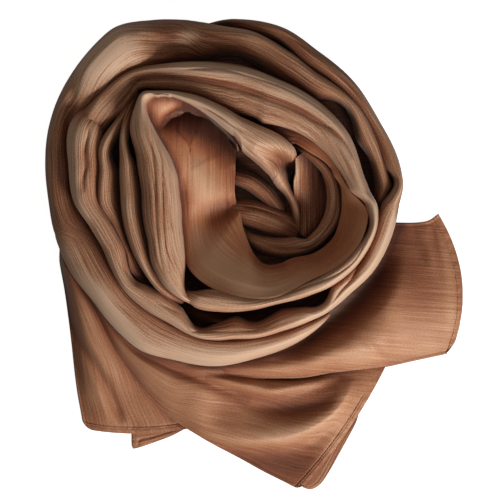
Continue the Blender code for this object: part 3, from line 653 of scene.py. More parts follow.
secondTurn = {
    "sections": [
        (-129, 84.5, 50, 82, 56, 79.0, 50),
        (-122.5, 82.4, 58, 79, 66, 75.5, 56),
        (-117, 84, 58, 77, 70, 70.6, 58),
        (-105, 80.8, 60, 74.5, 71, 67.8, 60),
        (-90, 76.9, 60, 73.6, 70, 70.3, 61),
        (-76, 75, 58, 72.8, 68, 70.6, 60),
        (-60, 78, 58, 74.2, 70, 70.4, 60),
        (-45, 83.2, 58, 78.8, 72, 74.6, 62),
        (-28, 88, 60, 84.6, 73, 81.2, 64),
        (-12, 90.2, 60, 88.1, 73, 86, 64),
        (-3, 88.6, 58, 86, 73, 82.4, 62),
        (5, 83, 54, 77.5, 72, 71.5, 60),
        (15, 80.5, 50, 75.5, 71, 68, 60),
        (35, 82.8, 46, 76, 70, 63.4, 58),
        (55, 83.6, 44, 76.5, 70, 57.6, 60),
        (75, 86, 42, 79, 70, 55.6, 60),
        (95, 94.5, 42, 86, 68, 60.6, 58),
        (108, 101.4, 42, 93, 66, 69.5, 57),
        (122, 112, 44, 106.5, 64, 89, 53),
        (135, 125.3, 44, 120.5, 61, 107.5, 50),
        (147, 129.5, 44, 125.4, 59, 110.8, 48),
        (156.8, 134.0, 36, 124.0, 51.0, 114.5, 43),
        (161.5, 130.0, 32, 122.0, 45.0, 114.0, 37),
    ],
    "creases": [
        ("sharp", [(110, 118, 0, 2.0), (128, 96, 4, 2.2), (140, 81, 6, 2.4), (160, 78.5, 6, 2.2),
                   (200, 81, 6, 2.2), (230, 87, 7, 2.4), (262, 97, 7, 2.4), (300, 112, 7, 2.4),
                   (325, 127, 6, 2.2), (345, 145, 3, 2.0), (352, 160, 0, 2.0)]),
        ("sharp", [(205, 91, 0, 1.3), (240, 100, 1.2, 1.4), (280, 116, 1.5, 1.4),
                   (315, 134, 1.2, 1.4), (340, 158, 0, 1.3)]),
        ("sharp", [(130, 76, 0, 1.2), (170, 72, 1.1, 1.2), (215, 70, 1.4, 1.3), (250, 78, 1.4, 1.3),
                   (290, 92, 1.7, 1.4), (330, 118, 1.4, 1.3), (352, 145, 1.2, 1.2),
                   (362, 175, 1.0, 1.2), (368, 205, 0, 1.2)]),
        ("sharp", [(366, 240, 0, 1.2), (352, 262, 1.4, 1.2), (330, 277, 1.5, 1.2),
                   (300, 288, 1.3, 1.2), (270, 296, 0.9, 1.2), (240, 299, 0, 1.0)]),
    ],
    "shades": [
        ("soft", [(150, 70, 0, 4), (190, 69, -0.10, 6), (240, 72, -0.18, 6), (290, 90, -0.20, 7),
                  (335, 122, -0.18, 7), (355, 155, -0.08, 6), (368, 200, 0, 5)]),
        ("soft", [(310, 285, 0, 5), (340, 262, 0.12, 8), (358, 236, 0.10, 7), (364, 215, 0, 5)]),
    ],
    "along": 700,
    "across": 81,
    "seed": 30,
    "flat": (0.085, 0.50),
}

innerTurn = {
    "sections": [
        (-33, 42.0, 26, 40.0, 29, 38.0, 26),
        (-22, 38.2, 29, 35.4, 34, 32.6, 28),
        (-10, 34.8, 31, 31.8, 38, 28.8, 29),
        (4, 31.6, 33, 28.4, 42, 25.2, 30),
        (16, 30.0, 35, 26.2, 47, 22.6, 32),
        (27, 30.6, 38, 25.0, 53, 20.6, 36),
        (36, 37.5, 42, 26.5, 58, 20.4, 42),
        (43, 44.8, 48, 31.0, 63, 20.8, 46),
        (50, 47.4, 54, 35.0, 67, 21.6, 50),
        (62, 49.1, 58, 38, 70, 22.5, 52),
        (78, 51, 60, 39, 73, 25.5, 54),
        (95, 57, 62, 45, 76, 31.8, 58),
        (107, 68.3, 62, 55, 78, 42.5, 60),
        (120, 85.3, 60, 77, 76, 70.5, 60),
        (130, 98.7, 58, 93, 73, 88.5, 58),
        (135.5, 106, 56, 103.6, 69, 101.4, 56),
        (141, 103, 58, 96, 73, 83.5, 58),
        (148, 98.3, 60, 84, 78, 67, 60),
        (160, 84, 60, 68, 79, 54.5, 58),
        (180, 75.4, 58, 62, 79, 49.6, 54),
        (200, 76.5, 58, 65, 78, 52.4, 56),
        (215, 82.5, 58, 72, 76, 58.3, 58),
        (227, 84.8, 58, 76.5, 73, 67.3, 60),
        (237, 84.2, 56, 81.8, 68, 79.3, 58),
        (241, 83.6, 52, 81.6, 62, 79.8, 54),
    ],
    "creases": [
        ("soft", [(254, 150, 0, 4.0), (267, 156, 5, 5.6), (279, 162, 13, 6.2), (287, 168, 17, 5.6),
                  (292, 177, 13, 4.8), (295, 187, 6, 3.8), (297, 197, 0, 3.0)]),
        ("sharp", [(150, 118, 0, 1.2), (153, 150, 1.3, 1.1), (156, 180, 1.6, 1.1),
                   (157, 215, 1.5, 1.1), (160, 250, 1.3, 1.1), (166, 280, 0, 1.2)]),
        ("sharp", [(152, 112, 0, 1.0), (158, 140, 1.4, 1.0), (163, 170, 1.7, 1.0),
                   (164, 210, 1.7, 1.0), (166, 245, 1.4, 1.0), (172, 280, 0, 1.0)]),
        ("sharp", [(154, 112, 0, 1.0), (163, 140, 1.2, 0.9), (170, 170, 1.5, 0.9),
                   (171, 210, 1.5, 0.9), (173, 245, 1.2, 0.9), (179, 282, 0, 1.0)]),
        ("sharp", [(146, 97, 0, 1.2), (160, 95, 1.6, 1.2), (185, 102, 2.2, 1.3),
                   (210, 112, 2.6, 1.4), (235, 128, 2.3, 1.4), (255, 142, 0, 1.4)]),
        ("sharp", [(165, 104, 0, 1.0), (200, 112, 2.0, 1.2), (225, 130, 2.6, 1.3),
                   (245, 148, 2.2, 1.2), (262, 165, 0, 1.0)]),
    ],
    "shades": [
        ("soft", [(146, 110, 0, 8), (152, 160, 0.10, 11), (160, 220, 0.13, 11), (170, 285, 0, 8)]),
        ("soft", [(270, 150, 0, 5), (281, 157, 0.22, 6), (288, 166, 0.34, 7),
                  (292, 180, 0.30, 6), (296, 200, 0.2, 5)]),
    ],
    "along": 500,
    "across": 101,
    "seed": 40,
    "flat": (0.085, 0.38),
}

sideFold = {
    "sections": [
        (-224, 111.5, 40, 109, 47, 106.0, 40),
        (-213, 109.0, 48, 106, 57, 103.5, 46),
        (-200, 112.2, 46, 108, 60, 102.5, 40),
        (-190, 106.9, 44, 103.3, 60, 93.5, 34),
        (-180, 106.3, 44, 102.6, 59, 91.5, 32),
        (-170, 98.6, 42, 95, 56, 91, 32),
        (-158, 94.9, 40, 92.8, 52, 90.7, 34),
        (-148, 98.6, 38, 96.2, 48, 91, 32),
        (-140, 94.6, 36, 92.9, 42, 90.6, 34),
    ],
    "along": 201,
    "across": 51,
    "seed": 50,
    "flat": (0.070, 0.145),
}

innerFold = {
    "sections": [
        (-223, 110.0, 42, 107.5, 48, 105.0, 42),
        (-215, 106.0, 50, 103.6, 57, 101.4, 50),
        (-207, 101.3, 56, 98.8, 63, 96.0, 54),
        (-195, 94, 52, 88.8, 67, 83.3, 52),
        (-180, 90.2, 50, 84, 67, 77.2, 50),
        (-160, 89.6, 50, 84, 66, 78.2, 50),
        (-145, 89.7, 50, 87, 64, 84, 50),
        (-137, 90.2, 50, 87.8, 62, 85.6, 52),
        (-130, 89.4, 48, 87.3, 58, 85.3, 49),
        (-123, 86.8, 42, 85.7, 48, 84.5, 42),
    ],
    "along": 221,
    "across": 51,
    "seed": 60,
    "flat": (0.085, 0.155),
}

heartRing = {
    "sections": [
        (-108, 26.0, 24, 22, 28, 18.0, 24),
        (-96, 30.5, 26, 26, 31, 21.5, 26),
        (-80, 36.5, 28, 30, 35, 24.5, 27),
        (-65, 43, 30, 36, 38, 28.5, 28),
        (-45, 54, 32, 46, 41, 37, 30),
        (-25, 61.0, 36, 55.5, 44, 50, 34),
        (-8, 65.2, 38, 60, 45, 54.0, 36),
        (8, 65, 38, 60.5, 45, 55.0, 36),
        (25, 60.2, 38, 56.2, 45, 51.2, 38),
        (40, 53.8, 40, 50.6, 45, 47.2, 38),
        (52, 51.4, 36, 48.8, 40, 46.2, 35),
    ],
    "creases": [
        ("sharp", [(262, 246, 0, 1.2), (285, 249, 1.8, 1.3), (305, 249, 2.0, 1.4),
                   (322, 237, 1.8, 1.4), (334, 217, 1.5, 1.3), (338, 200, 0, 1.2)]),
    ],
    "along": 221,
    "across": 46,
    "seed": 70,
    "flat": (0.045, 0.133),
}


def wallDrape(points):
    # lines straight up and down the plan
    return -points[..., 1], points[..., 0]


heartWall = {
    "drape": wallDrape,
    "sections": [
        (-34, 49.0, 42.0, 27, 29, 30, 27),
        (-20, 52.5, 35.0, 28, 31, 32, 29),
        (-6, 54.5, 32.0, 29, 32, 34, 31),
        (8, 55.0, 31.2, 30, 33, 39, 42),
        (20, 54.6, 32.6, 31, 35, 44, 50),
        (30, 52.4, 37.0, 34, 39, 49, 55),
        (42, 49.6, 43.0, 42, 46, 53, 56),
    ],
    "inside": [],
    "shades": [("soft", [(300, 160, 0.10, 12), (315, 195, 0.14, 18), (312, 225, 0.10, 12)])],
    "along": 101,
    "across": 46,
    "seed": 80,
    "flat": (0.026, 0.058),
}


def petalDrape(points):
    # the lining's lines run straight down from the top, then turn to follow the bowl round
    x, y = points[..., 0], points[..., 1]
    width = stepLengths(points, 1)
    share = width / width[:, -1:]
    turn = np.unwrap(np.arctan2(y[:, 0], x[:, 0]))
    turn = turn[:, None] + 0 * x
    side = ease((turn - petal["bendFrom"]) / petal["bendOver"])
    across = (x + petal["left"]) * (1 - side) + share * petal["wide"] * side
    along = -y * (1 - side) + side * (turn - math.pi) * petal["ring"]
    return along, across


petal = {
    "drape": petalDrape,
    "bendFrom": 2.6,  # bearing in radians where the lines begin to follow the bowl
    "bendOver": 0.9,
    "left": 48.6,
    "wide": 38.0,
    "ring": 52.0,
    # the lining's tones carry painted light thrown by the cloth round the bowl
    "satin": "warm",
    "sections": [
        (104, 46.0, 35.0, 44, 43, 42, 40),
        (110, 54.0, 30.0, 46, 44, 42, 39),
        (117, 68.0, 21.8, 50, 45, 42, 38),
        (125, 86.0, 18.5, 53, 46, 41, 37),
        (132, 98.5, 15.9, 55, 46, 40, 36),
        (138, 98.0, 14.5, 55, 46, 39, 36),
        (144, 82.0, 13.2, 52, 45, 39, 35),
        (152, 64.0, 12.1, 47, 43, 38, 35),
        (165, 53, 10.8, 44, 41, 37, 34),
        (185, 49.6, 9.8, 42, 38, 34, 32),
        (210, 54.8, 10.5, 42, 35, 32, 31),
        (228, 64, 10.9, 55, 45, 38, 33),
        (245, 66.6, 14.3, 62, 51, 41, 33),
        (262, 67.8, 23.5, 66, 57, 45, 34),
        (284, 69.8, 46.7, 67, 62, 54, 42),
        (303, 69.0, 50.6, 66, 60, 52, 42),
        (322, 75.7, 60.2, 68, 60, 51, 44),
        (340, 81.9, 65.6, 70, 62, 53, 46),
        (354, 82.6, 66.5, 68, 61, 54, 48),
        (362, 71.8, 65.6, 62, 58, 54, 50),
        (370, 66.4, 63.1, 58, 56, 54, 51),
        (385, 63.8, 56.6, 56, 54, 52, 50),
        (405, 60.5, 48.8, 53, 52, 50, 49),
        (415, 58.6, 46, 49, 48, 47, 46),
        (428, 56.5, 43, 45, 43, 42, 41),
        (440, 55, 42, 41, 40, 39, 39),
    ],
    "creases": [
        ("soft", [(240, 210, 0, 5), (226, 208, 2.6, 7), (210, 213, 2.6, 8), (192, 226, 0, 7)]),
        ("sharp", [(241, 162, 0, 1.2), (234, 145, 12, 1.6), (218, 127, 19, 2.0),
                   (200, 114, 22, 2.2),
                   (184, 112, 21, 2.2), (169, 118, 15, 2.0), (158, 131, 0, 1.6)], 5.0),
        ("sharp", [(182, 172, 0, 1.2), (185, 195, 1.4, 1.4), (187, 215, 1.4, 1.4),
                   (188, 232, 0, 1.2)]),
    ],
    "shades": [
        ("soft", [(148, 104, -0.1, 5), (162, 108, -0.3, 5), (178, 106, -0.3, 4), (190, 106, 0, 4)]),
        ("sharp", [(160, 131, 0, 2.5), (169, 119, 0.4, 2.5), (184, 113, 0.5, 3),
                   (200, 115, 0.5, 3.5),
                   (218, 128, 0.5, 3), (234, 146, 0.4, 2.5), (241, 162, 0, 2)]),
        ("soft", [(164, 136, 0, 5), (180, 128, 0.26, 8), (200, 130, 0.32, 9), (214, 144, 0.34, 9),
                  (226, 158, 0.32, 8), (233, 174, 0.22, 6), (235, 192, 0, 5)]),
        ("soft", [(240, 204, 0, 5), (228, 211, 0.14, 7), (214, 216, 0.14, 8), (202, 226, 0, 6)]),
        ("soft", [(163, 124, 0, 3), (172, 114, 0.3, 3.5), (184, 108, 0.3, 3.5),
                  (200, 110, 0.3, 3.5),
                  (217, 123, 0.3, 3.5), (233, 141, 0.2, 3), (240, 152, 0, 2)]),
        ("soft", [(192, 222, -0.22, 11), (202, 250, -0.44, 15), (226, 270, -0.42, 14),
                  (262, 284, -0.34, 12),
                  (302, 290, -0.18, 9)]),
        ("soft", [(186, 152, -0.12, 9), (198, 172, -0.32, 14), (205, 190, -0.32, 14),
                  (200, 206, -0.16, 9)]),
    ],
    "soften": 4.0,
    "calm": 11.0,
    "along": 461,
    "across": 86,
    "seed": 90,
    "flat": (0.045, 0.262),
}

heartBand = {
    "sections": [
        (-18.0, 20.5, 5.0, 29),
        (-9.8, 16.8, 5.6, 34),
        (0, 12.8, 6.2, 37),
        (8.4, 6.8, 6.2, 36),
        (15.4, -0.2, 5.6, 33),
        (22.4, -8.4, 4.2, 28),
    ],
    "shades": [("soft", [(226, 178, 0.08, 12), (275, 200, 0.10, 12)])],
    "along": 91,
    "across": 46,
    "seed": 100,
    "flat": (0.036, 0.040),
}

heartRoll = {
    "sections": [
        (-17.0, -5.0, 6.0, 28),
        (-7.0, -7.4, 8.6, 33),
        (3.5, -10.2, 9.8, 36.5),
        (14.0, -14.0, 10.0, 37),
        (23.8, -17.5, 9.4, 35),
        (34.0, -21.5, 7.6, 29),
    ],
    "creases": [
        ("soft", [(240, 205, 0, 1.6), (256, 208, 1.6, 1.8), (274, 214, 1.4, 1.8),
                  (290, 222, 0, 1.6)]),
    ],
    "shades": [("soft", [(226, 205, 0.10, 12), (290, 225, 0.10, 12)])],
    "along": 101,
    "across": 51,
    "seed": 110,
    "flat": (0.043, 0.044),
}

outerWrap = {
    "sections": [
        (-8, 90.4, 34, 89.4, 38, 88.4, 30),
        (-3, 92.3, 42, 90.3, 47, 88.3, 36),
        (1, 94.4, 44, 91.4, 51, 88.2, 38),
        (6, 99.4, 42, 94.5, 52, 88, 38),
        (15, 97, 44, 93.5, 52, 88.3, 38),
        (28, 98, 44, 92.5, 53, 86, 36),
        (45, 100, 44, 96.5, 53, 92.5, 34),
        (60, 100, 43, 94, 53, 85.5, 36),
        (75, 107, 42, 100, 52, 87, 32),
        (90, 118, 40, 111, 51, 97, 30),
        (98, 122, 38, 113, 49.5, 103, 30),
        (104, 127.6, 30, 115, 50, 103, 28),
        (118, 143, 22, 126, 54, 110, 36),
        (130, 154.3, 18, 144, 67, 121.5, 50),
        (141, 153.8, 16, 144, 63, 126, 52),
        (150, 152.8, 16, 143, 52, 132, 45),
        (160, 150.2, 16, 141, 42, 136, 37),
        (170, 146, 14, 136, 38, 129.5, 34),
        (180, 141.5, 14, 132, 37, 125.4, 33),
        (190, 139, 21, 127, 40, 114, 36),
        (200, 136, 25, 122, 43, 109, 40),
        (215, 130.5, 28, 119, 47, 109.3, 42),
        (232, 130.5, 27, 116, 47, 105, 42),
        (245, 124, 24, 111.5, 47, 103.8, 42),
        (258, 119, 23, 108, 47, 101, 42),
        (272, 111, 23, 103.5, 47, 97.8, 42),
        (290, 104.5, 24, 99.5, 46, 95, 40),
        (299, 101, 26, 98.5, 38, 96, 32),
        (305, 98.5, 18, 96.5, 24, 94.5, 20),
    ],
    "feet": [
        (-8, 22.8),
        (106, 22.8),
        (113, 0),
        (187, 0),
        (192.5, 21.3),
        (204, 22.6),
        (222, 22.5),
        (236, 21.7),
        (246, 18.8),
        (258, 17.1),
        (272, 15.8),
        (305, 12.0),
    ],
    "creases": [
        ("soft", [(82, 60, 0, 4), (74, 85, 4, 4.5), (70, 110, 4.5, 4.5), (68, 135, 3, 4),
                  (66, 165, 0, 4)]),
        ("sharp", [(240, 35, 0, 2), (270, 50, 1.6, 2), (300, 75, 1.6, 2), (330, 95, 0, 2)]),
        ("sharp", [(100, 280, 0, 1.4), (115, 300, 1.3, 1.6), (130, 315, 1.5, 1.6),
                   (150, 335, 0, 1.4)]),
        ("soft", [(140, 64, 0, 5), (180, 62, 3, 6), (215, 63, 5, 7), (250, 67, 5, 6),
                  (285, 78, 0, 4)]),
        ("sharp", [(150, 30, 0, 1.4), (185, 38, 1.2, 1.6), (215, 48, 1.5, 1.6), (240, 60, 0, 1.4)]),
        ("sharp", [(168, 24, 0, 1.2), (200, 32, 1.2, 1.4), (235, 44, 1.5, 1.4), (262, 60, 0, 1.4)]),
        ("soft", [(140, 34, 0, 4), (156, 44, 3.5, 6), (178, 52, 4, 7), (202, 54, 0, 5)]),
    ],
    "shades": [
        ("soft", [(146, 26, 0, 6), (170, 32, 0.26, 9), (205, 38, 0.26, 9), (250, 46, 0.16, 8),
                  (290, 62, 0, 7)]),
        ("soft", [(78, 108, 0, 8), (88, 84, -0.18, 12), (104, 64, -0.26, 15), (126, 52, -0.24, 14),
                  (146, 42, 0, 8)]),
        ("soft", [(96, 290, 0, 8), (140, 330, -0.04, 10), (190, 348, -0.08, 12),
                  (240, 350, -0.08, 12),
                  (290, 335, 0, 8)]),
    ],
    "along": 760,
    "across": 76,
    "seed": 10,
    "flat": (0.074, 0.60),
}

leftEnd = {
    "sections": [
        (-134.0, -28.0, -124.0, -38.0, 0, 1.3, 16, 19, 19, 18),
        (-134.6, -41.0, -122.0, -47.5, 0, 1.3, 18, 20, 19.5, 17),
        (-133.2, -50.5, -114.0, -57.5, 0, 1.3, 18.5, 20.5, 18, 13),
        (-130.9, -63, -106.0, -68.0, 0, 1.3, 18, 20.5, 15, 10),
        (-128.5, -80, -95.0, -84, 0, 1.3, 17, 19.0, 11, 7),
        (-125.8, -102, -80.0, -105, 0, 1.3, 16, 16.5, 9, 4.6),
        (-123.9, -120, -67.0, -122.5, 0, 1.3, 13, 13, 7.2, 3.4),
        (-121.8, -136, -58.5, -138, 0, 1.3, 10, 9, 7, 2.6),
        (-119.2, -150, -50.0, -152, -1.2, 1.3, 7, 5.5, 6.4, 2.4),
        (-117.4, -161, -44.0, -161.0, -3.4, 1.3, 3.3, 3.3, 4.4, 2.4),
    ],
    "creases": [
        ("soft", [(67, 310, 0, 3), (76, 338, 3.5, 3.5), (90, 360, 4.5, 4.5), (104, 384, 4.5, 4.5),
                  (116, 410, 3.5, 4), (123, 424, 0, 3)]),
    ],
    "hem": 4.6,
    "corners": ((0, 7.0),),
    "rolled": (0,),
    "along": 261,
    "across": 96,
    "seed": 120,
    "pleats": 0.4,
    "satin": "calm",
    "flat": (0.050, 0.140),
    "held": "laid",
    "rests": ["left_end_layer"],
}

lowerEnd = {
    "sections": [
        (-116.0, -50.0, -120.6, -57.0, 0, 20, 20.8, 21, 20, 17.0),
        (-106.0, -60.5, -115.6, -66.5, 0, 21.5, 21.6, 21.4, 19, 14.0),
        (-94.0, -73, -107.8, -82, 0, 21.5, 21.8, 21.6, 18.4, 11.2),
        (-84.0, -87, -97.0, -104.5, 0, 21.5, 21.8, 21.4, 17.4, 8.6),
        (-74.0, -99, -84.0, -122, 0, 20.5, 20.5, 20.4, 15.8, 7.0),
        (-60.0, -106.5, -72.2, -138, 0, 19, 19.5, 19.4, 14.4, 5.8),
        (-46.0, -111, -58.0, -152, 0, 16, 17.5, 18.4, 13.6, 4.6),
        (-29.0, -105.0, -43.5, -161.5, 1, 11.5, 16, 17, 14, 1.3),
        (-11.2, -104.5, -26.0, -172, 2, 8.5, 12, 10.8, 6.8, 1.3),
        (10.0, -105.5, -7.0, -182, 2.5, 5, 9.2, 7.8, 5.0, 1.3),
        (37.0, -110.5, 10.0, -191.5, 3.5, 3, 8, 6.6, 4.2, 1.3),
        (60.6, -107.6, 24.0, -198.4, 5.5, 2, 7.4, 6.4, 4.2, 2),
        (83.5, -106.0, 33.0, -202.8, 4.0, 1.4, 8.2, 8, 6, 3.2),
        (100.2, -107.6, 36.4, -203.2, 4.4, 1.3, 5.4, 5, 4.6, 3.4),
    ],
    "creases": [
        ("soft", [(160, 424, 0, 4), (190, 430, -5, 5.5), (220, 436, -8, 6), (250, 440, -10, 6.5),
                  (278, 438, -11, 6.5), (302, 432, -11, 6.5), (322, 421, -10, 6.5),
                  (338, 407, -8, 6), (347, 393, -5, 5), (351, 378, 0, 4)], 2.3),
        ("soft", [(205, 377, 0, 3), (228, 382, -4, 4), (250, 387, -6, 5), (270, 391, -6, 5),
                  (292, 388, -5, 4.5), (315, 383, -3.5, 4), (340, 378, 0, 3)]),
        ("soft", [(232, 398, 0, 3), (258, 408, 2.5, 5), (290, 412, 4, 6), (318, 406, 3, 5),
                  (338, 394, 0, 3)]),
        ("soft", [(196, 373, 0, 2), (225, 376, 2, 2.6), (285, 378, 2.6, 2.6), (325, 376, 0, 2)]),
        ("soft", [(95, 300, 0, 2.5), (115, 330, 3, 3), (135, 350, 4, 3), (165, 366, 4, 3.5),
                  (200, 380, 4, 4), (235, 394, 3, 5), (252, 400, 0, 5)]),
    ],
    "shades": [
        ("soft", [(235, 392, 0, 5), (262, 402, 0.16, 7), (292, 408, 0.24, 8),
                  (322, 403, 0.20, 7), (342, 391, 0, 5)]),
        ("soft", [(225, 455, 0, 6), (255, 462, 0.24, 9), (290, 468, 0.34, 12),
                  (318, 462, 0.22, 9), (335, 445, 0, 6)]),
        ("soft", [(195, 438, -0.04, 5), (255, 446, -0.06, 6), (300, 440, -0.06, 6),
                  (335, 421, -0.06, 5), (350, 400, 0, 4)]),
    ],
    "hem": 4.6,
    "hemFrom": 31,
    "corners": ((1, 5.0),),
    "rolled": (0, 1),
    "along": 381,
    "across": 131,
    "seed": 130,
    "pleats": 0.4,
    "satin": "calm",
    "flat": (0.060, 0.242),
    "held": "laid",
    "rests": ["left_end", "lower_end_layer"],
}


def endDrape(points):
    # lines straight across the plan, square to the hem
    return points[..., 0], -points[..., 1] - 0.08 * points[..., 0]


rightEnd = {
    "drape": endDrape,
    "sections": [
        (-30.0, -106.0, -30.4, -110.0, 0, 14, 14, 14, 14, 14),
        (-14.0, -106.0, -16.0, -124.2, 0, 13, 14, 15, 14.5, 10),
        (8.0, -101.0, 8.4, -125.4, 0, 11, 13.4, 15, 16, 10),
        (33.0, -90.0, 35.0, -125.2, 0, 10, 12.4, 17, 18, 10),
        (50.0, -76.0, 56.0, -121.6, 0, 9, 11, 17, 20, 9),
        (65.0, -62.0, 77.0, -119.4, 0, 8, 10.5, 18, 21, 6),
        (80.0, -47.0, 95.6, -117.6, 0, 7, 10, 19, 19, 2),
        (90.0, -30.0, 106.0, -115.4, 0, 6, 10, 19, 16, 1.3),
        (96.5, -15.4, 118.6, -112.6, 3, 5, 10, 17, 14, 1.3),
        (112.0, -15.8, 130.0, -110.2, 6, 2, 9, 13, 11, 1.3),
        (124.4, -14.8, 138.0, -108.4, 9, 3, 5.6, 7, 7, 1.3),
        (132.6, -9.4, 142.6, -106.0, 12, 4.6, 1.4, 2.4, 1.8, 1.3),
    ],
    "creases": [
        ("soft", [(411, 222, 0, 3), (416, 236, 1.6, 3.5), (423, 250, 1.8, 3.5), (430, 266, 0, 3)]),
        ("soft", [(431, 220, 0, 2.5), (435, 240, 1.8, 3), (440, 262, 1.6, 3), (447, 288, 0, 3)]),
        ("soft", [(350, 324, 0, 3), (368, 343, 1.6, 3.5), (390, 361, 0, 3)]),
        ("soft", [(396, 226, 0, 8), (386, 262, 4, 9), (366, 295, 7, 10), (335, 325, 7, 9),
                  (300, 348, 4, 7), (268, 361, 0, 5)]),
    ],
    "shades": [
        ("soft", [(310, 345, 0, 8), (350, 315, 0.10, 12), (385, 270, 0.08, 12), (396, 235, 0, 8)]),
        ("soft", [(446, 240, 0, 4), (452, 290, -0.14, 6), (454, 335, -0.14, 6), (444, 350, 0, 4)]),
        ("soft", [(320, 366, 0, 4), (370, 360, -0.12, 6), (430, 348, -0.12, 6), (450, 344, 0, 4)]),
        ("soft", [(425, 235, 0, 8), (418, 290, 0.18, 18), (410, 325, 0, 10)]),
    ],
    "hem": 4.6,
    "corners": ((1, 9.0),),
    "rolled": (0, 1),
    "along": 331,
    "across": 121,
    "seed": 140,
    "pleats": 0.4,
    "satin": "calm",
    "flat": (0.066, 0.175),
    "held": "laid",
    "rests": ["lower_end"],
}

leftEndLayer = {
    "sections": [
        (-83.9, -152.0, -83.5, -172.6, 0, 1.3, 1.6, 2.0, 1.8, 1.3),
        (-83.0, -152.0, -82.4, -175.2, 0, 1.3, 2.4, 2.8, 2.4, 1.3),
        (-79.0, -152.0, -79.0, -174.6, 0, 1.3, 2.4, 2.8, 2.6, 1.6),
        (-66.0, -152.0, -66.6, -170.4, 0, 1.3, 2.2, 2.6, 2.4, 1.5),
        (-54.0, -152.0, -55.0, -166.0, 0, 1.3, 1.6, 2.0, 1.8, 1.3),
        (-47.0, -152.0, -47.0, -161.8, 0, 1.3, 1.3, 1.3, 1.3, 1.3),
    ],
    "creases": [
        ("sharp", [(137, 449, 0, 0.8), (138, 442, 1.2, 0.9), (152, 438, 1.3, 0.9),
                   (168, 433, 1.2, 0.9),
                   (182, 427, 0, 0.8)]),
    ],
    "along": 71,
    "across": 31,
    "seed": 150,
    "flat": (0.018, 0.037),
    "held": "laid",
    "rests": [],
}

lowerEndLayer = {
    "sections": [
        (30.0, -194.0, 37.6, -202.6, 0, 1.3, 1.3, 1.3, 1.3, 1.3),
        (37.0, -194.0, 42.6, -204.0, 0, 1.3, 1.4, 1.6, 1.5, 1.3),
        (43.0, -190.0, 49.0, -200.9, 0, 1.3, 1.5, 1.7, 1.5, 1.3),
        (50.0, -178.0, 56.0, -191.1, 0, 1.3, 1.5, 1.9, 1.5, 1.3),
        (58.0, -164.0, 63.0, -178.5, 0, 1.3, 1.5, 1.9, 1.5, 1.3),
        (65.0, -152.0, 70.0, -165.9, 0, 1.3, 1.5, 1.7, 1.5, 1.3),
        (71.0, -144.0, 75.6, -154.7, 0, 1.3, 1.5, 1.7, 1.5, 1.3),
        (73.0, -141.0, 77.0, -148.0, 0, 1.3, 1.3, 1.3, 1.3, 1.3),
    ],
    "along": 101,
    "across": 26,
    "seed": 160,
    "flat": (0.011, 0.082),
    "held": "laid",
    "rests": [],
}

# the parts of turns that the border of the turn beside them may lean on
leftPart = {"sections": [row for row in outerTurn["sections"] if row[0] < -10]}
rimPart = {"sections": [row for row in secondTurn["sections"] if row[0] < 120]}
ringPart = {"sections": [row for row in heartRing["sections"] if row[0] > -85]}
outerWrap["inside"] = [leftPart, secondTurn]
outerTurn["inside"] = [rimPart, sideFold, innerFold, outerWrap]
secondTurn["inside"] = [innerTurn, petal, sideFold, innerFold]
sideFold["inside"] = [innerFold, innerTurn]
innerFold["inside"] = [innerTurn]
innerTurn["inside"] = [petal]
heartRing["inside"] = [heartWall]
petal["inside"] = [ringPart]

satin = {
    # deep and shade are painted shade in creases and hollows, base is the cloth's own colour, and
    # pale is a painted highlight and sheen on crests
    "deep": (0.085, 0.026, 0.016),
    "shade": (0.218, 0.073, 0.036),
    "base": (0.358, 0.166, 0.086),
    "pale": (0.508, 0.330, 0.222),
    "places": (0.03, 0.33, 0.56, 0.84),  # painted shading values at which the four tones stand
    "lines": 0.36,  # how far the fine lines shift the tone
    "cloud": 0.08,  # the broad uneven patches
    "grain": 0.13,  # and the weave
    "roughness": 0.54,
    "specular": 0.36,
    "sheen": 0.16,
    "specularTint": (1.0, 0.84, 0.66),
    "sheenRoughness": 0.40,
    "sheenTint": (1.0, 0.84, 0.70),
    "linesAcross": 1350.0,
    "linesAlong": 26.0,
    "bump": 0.35,
    "bumpDistance": 0.0004,
}

calmer = {  # for the smoother stretches
    "lines": 0.14,
    "grain": 0.08,
    "bump": 0.22,
}

paintedBowlLight = {  # lighter, warmer tones for the lining of the bowl: painted light for the light that the cloth round it throws on it
    "shade": (0.255, 0.076, 0.033),
    "base": (0.410, 0.166, 0.078),
    "pale": (0.520, 0.298, 0.176),
    "lines": 0.16,
    "grain": 0.08,
    "bump": 0.22,
}


def crinkleGroup():
    # fine lines from a noise stretched along the cloth, broad uneven patches and the weave's
    # grain, all three 0 to 1
    group = bpy.data.node_groups.new("crinkleLines", "ShaderNodeTree")
    sockets = group.interface
    sockets.new_socket(name="Place", in_out="INPUT", socket_type="NodeSocketVector")
    for name in ("Lines across", "Lines along"):
        sockets.new_socket(name=name, in_out="INPUT", socket_type="NodeSocketFloat")
    for name in ("Lines", "Cloud", "Grain"):
        sockets.new_socket(name=name, in_out="OUTPUT", socket_type="NodeSocketFloat")
    n, link = group.nodes, group.links
    start, end = n.new("NodeGroupInput"), n.new("NodeGroupOutput")
    join = n.new("ShaderNodeCombineXYZ")
    link.new(start.outputs["Lines along"], join.inputs[0])
    link.new(start.outputs["Lines across"], join.inputs[1])
    scaled = n.new("ShaderNodeVectorMath")
    scaled.operation = "MULTIPLY"
    link.new(start.outputs["Place"], scaled.inputs[0])
    link.new(join.outputs[0], scaled.inputs[1])
    for output, place, scale, detail in (
        ("Lines", scaled.outputs[0], 1.0, 0.5),
        ("Cloud", start.outputs["Place"], 45.0, 2.0),
        ("Grain", start.outputs["Place"], 950.0, 0.0),
    ):
        texture = n.new("ShaderNodeTexNoise")
        texture.noise_dimensions = "2D"
        texture.inputs["Scale"].default_value = scale
        texture.inputs["Detail"].default_value = detail
        link.new(place, texture.inputs["Vector"])
        link.new(texture.outputs["Fac"], end.inputs[output])
    return group


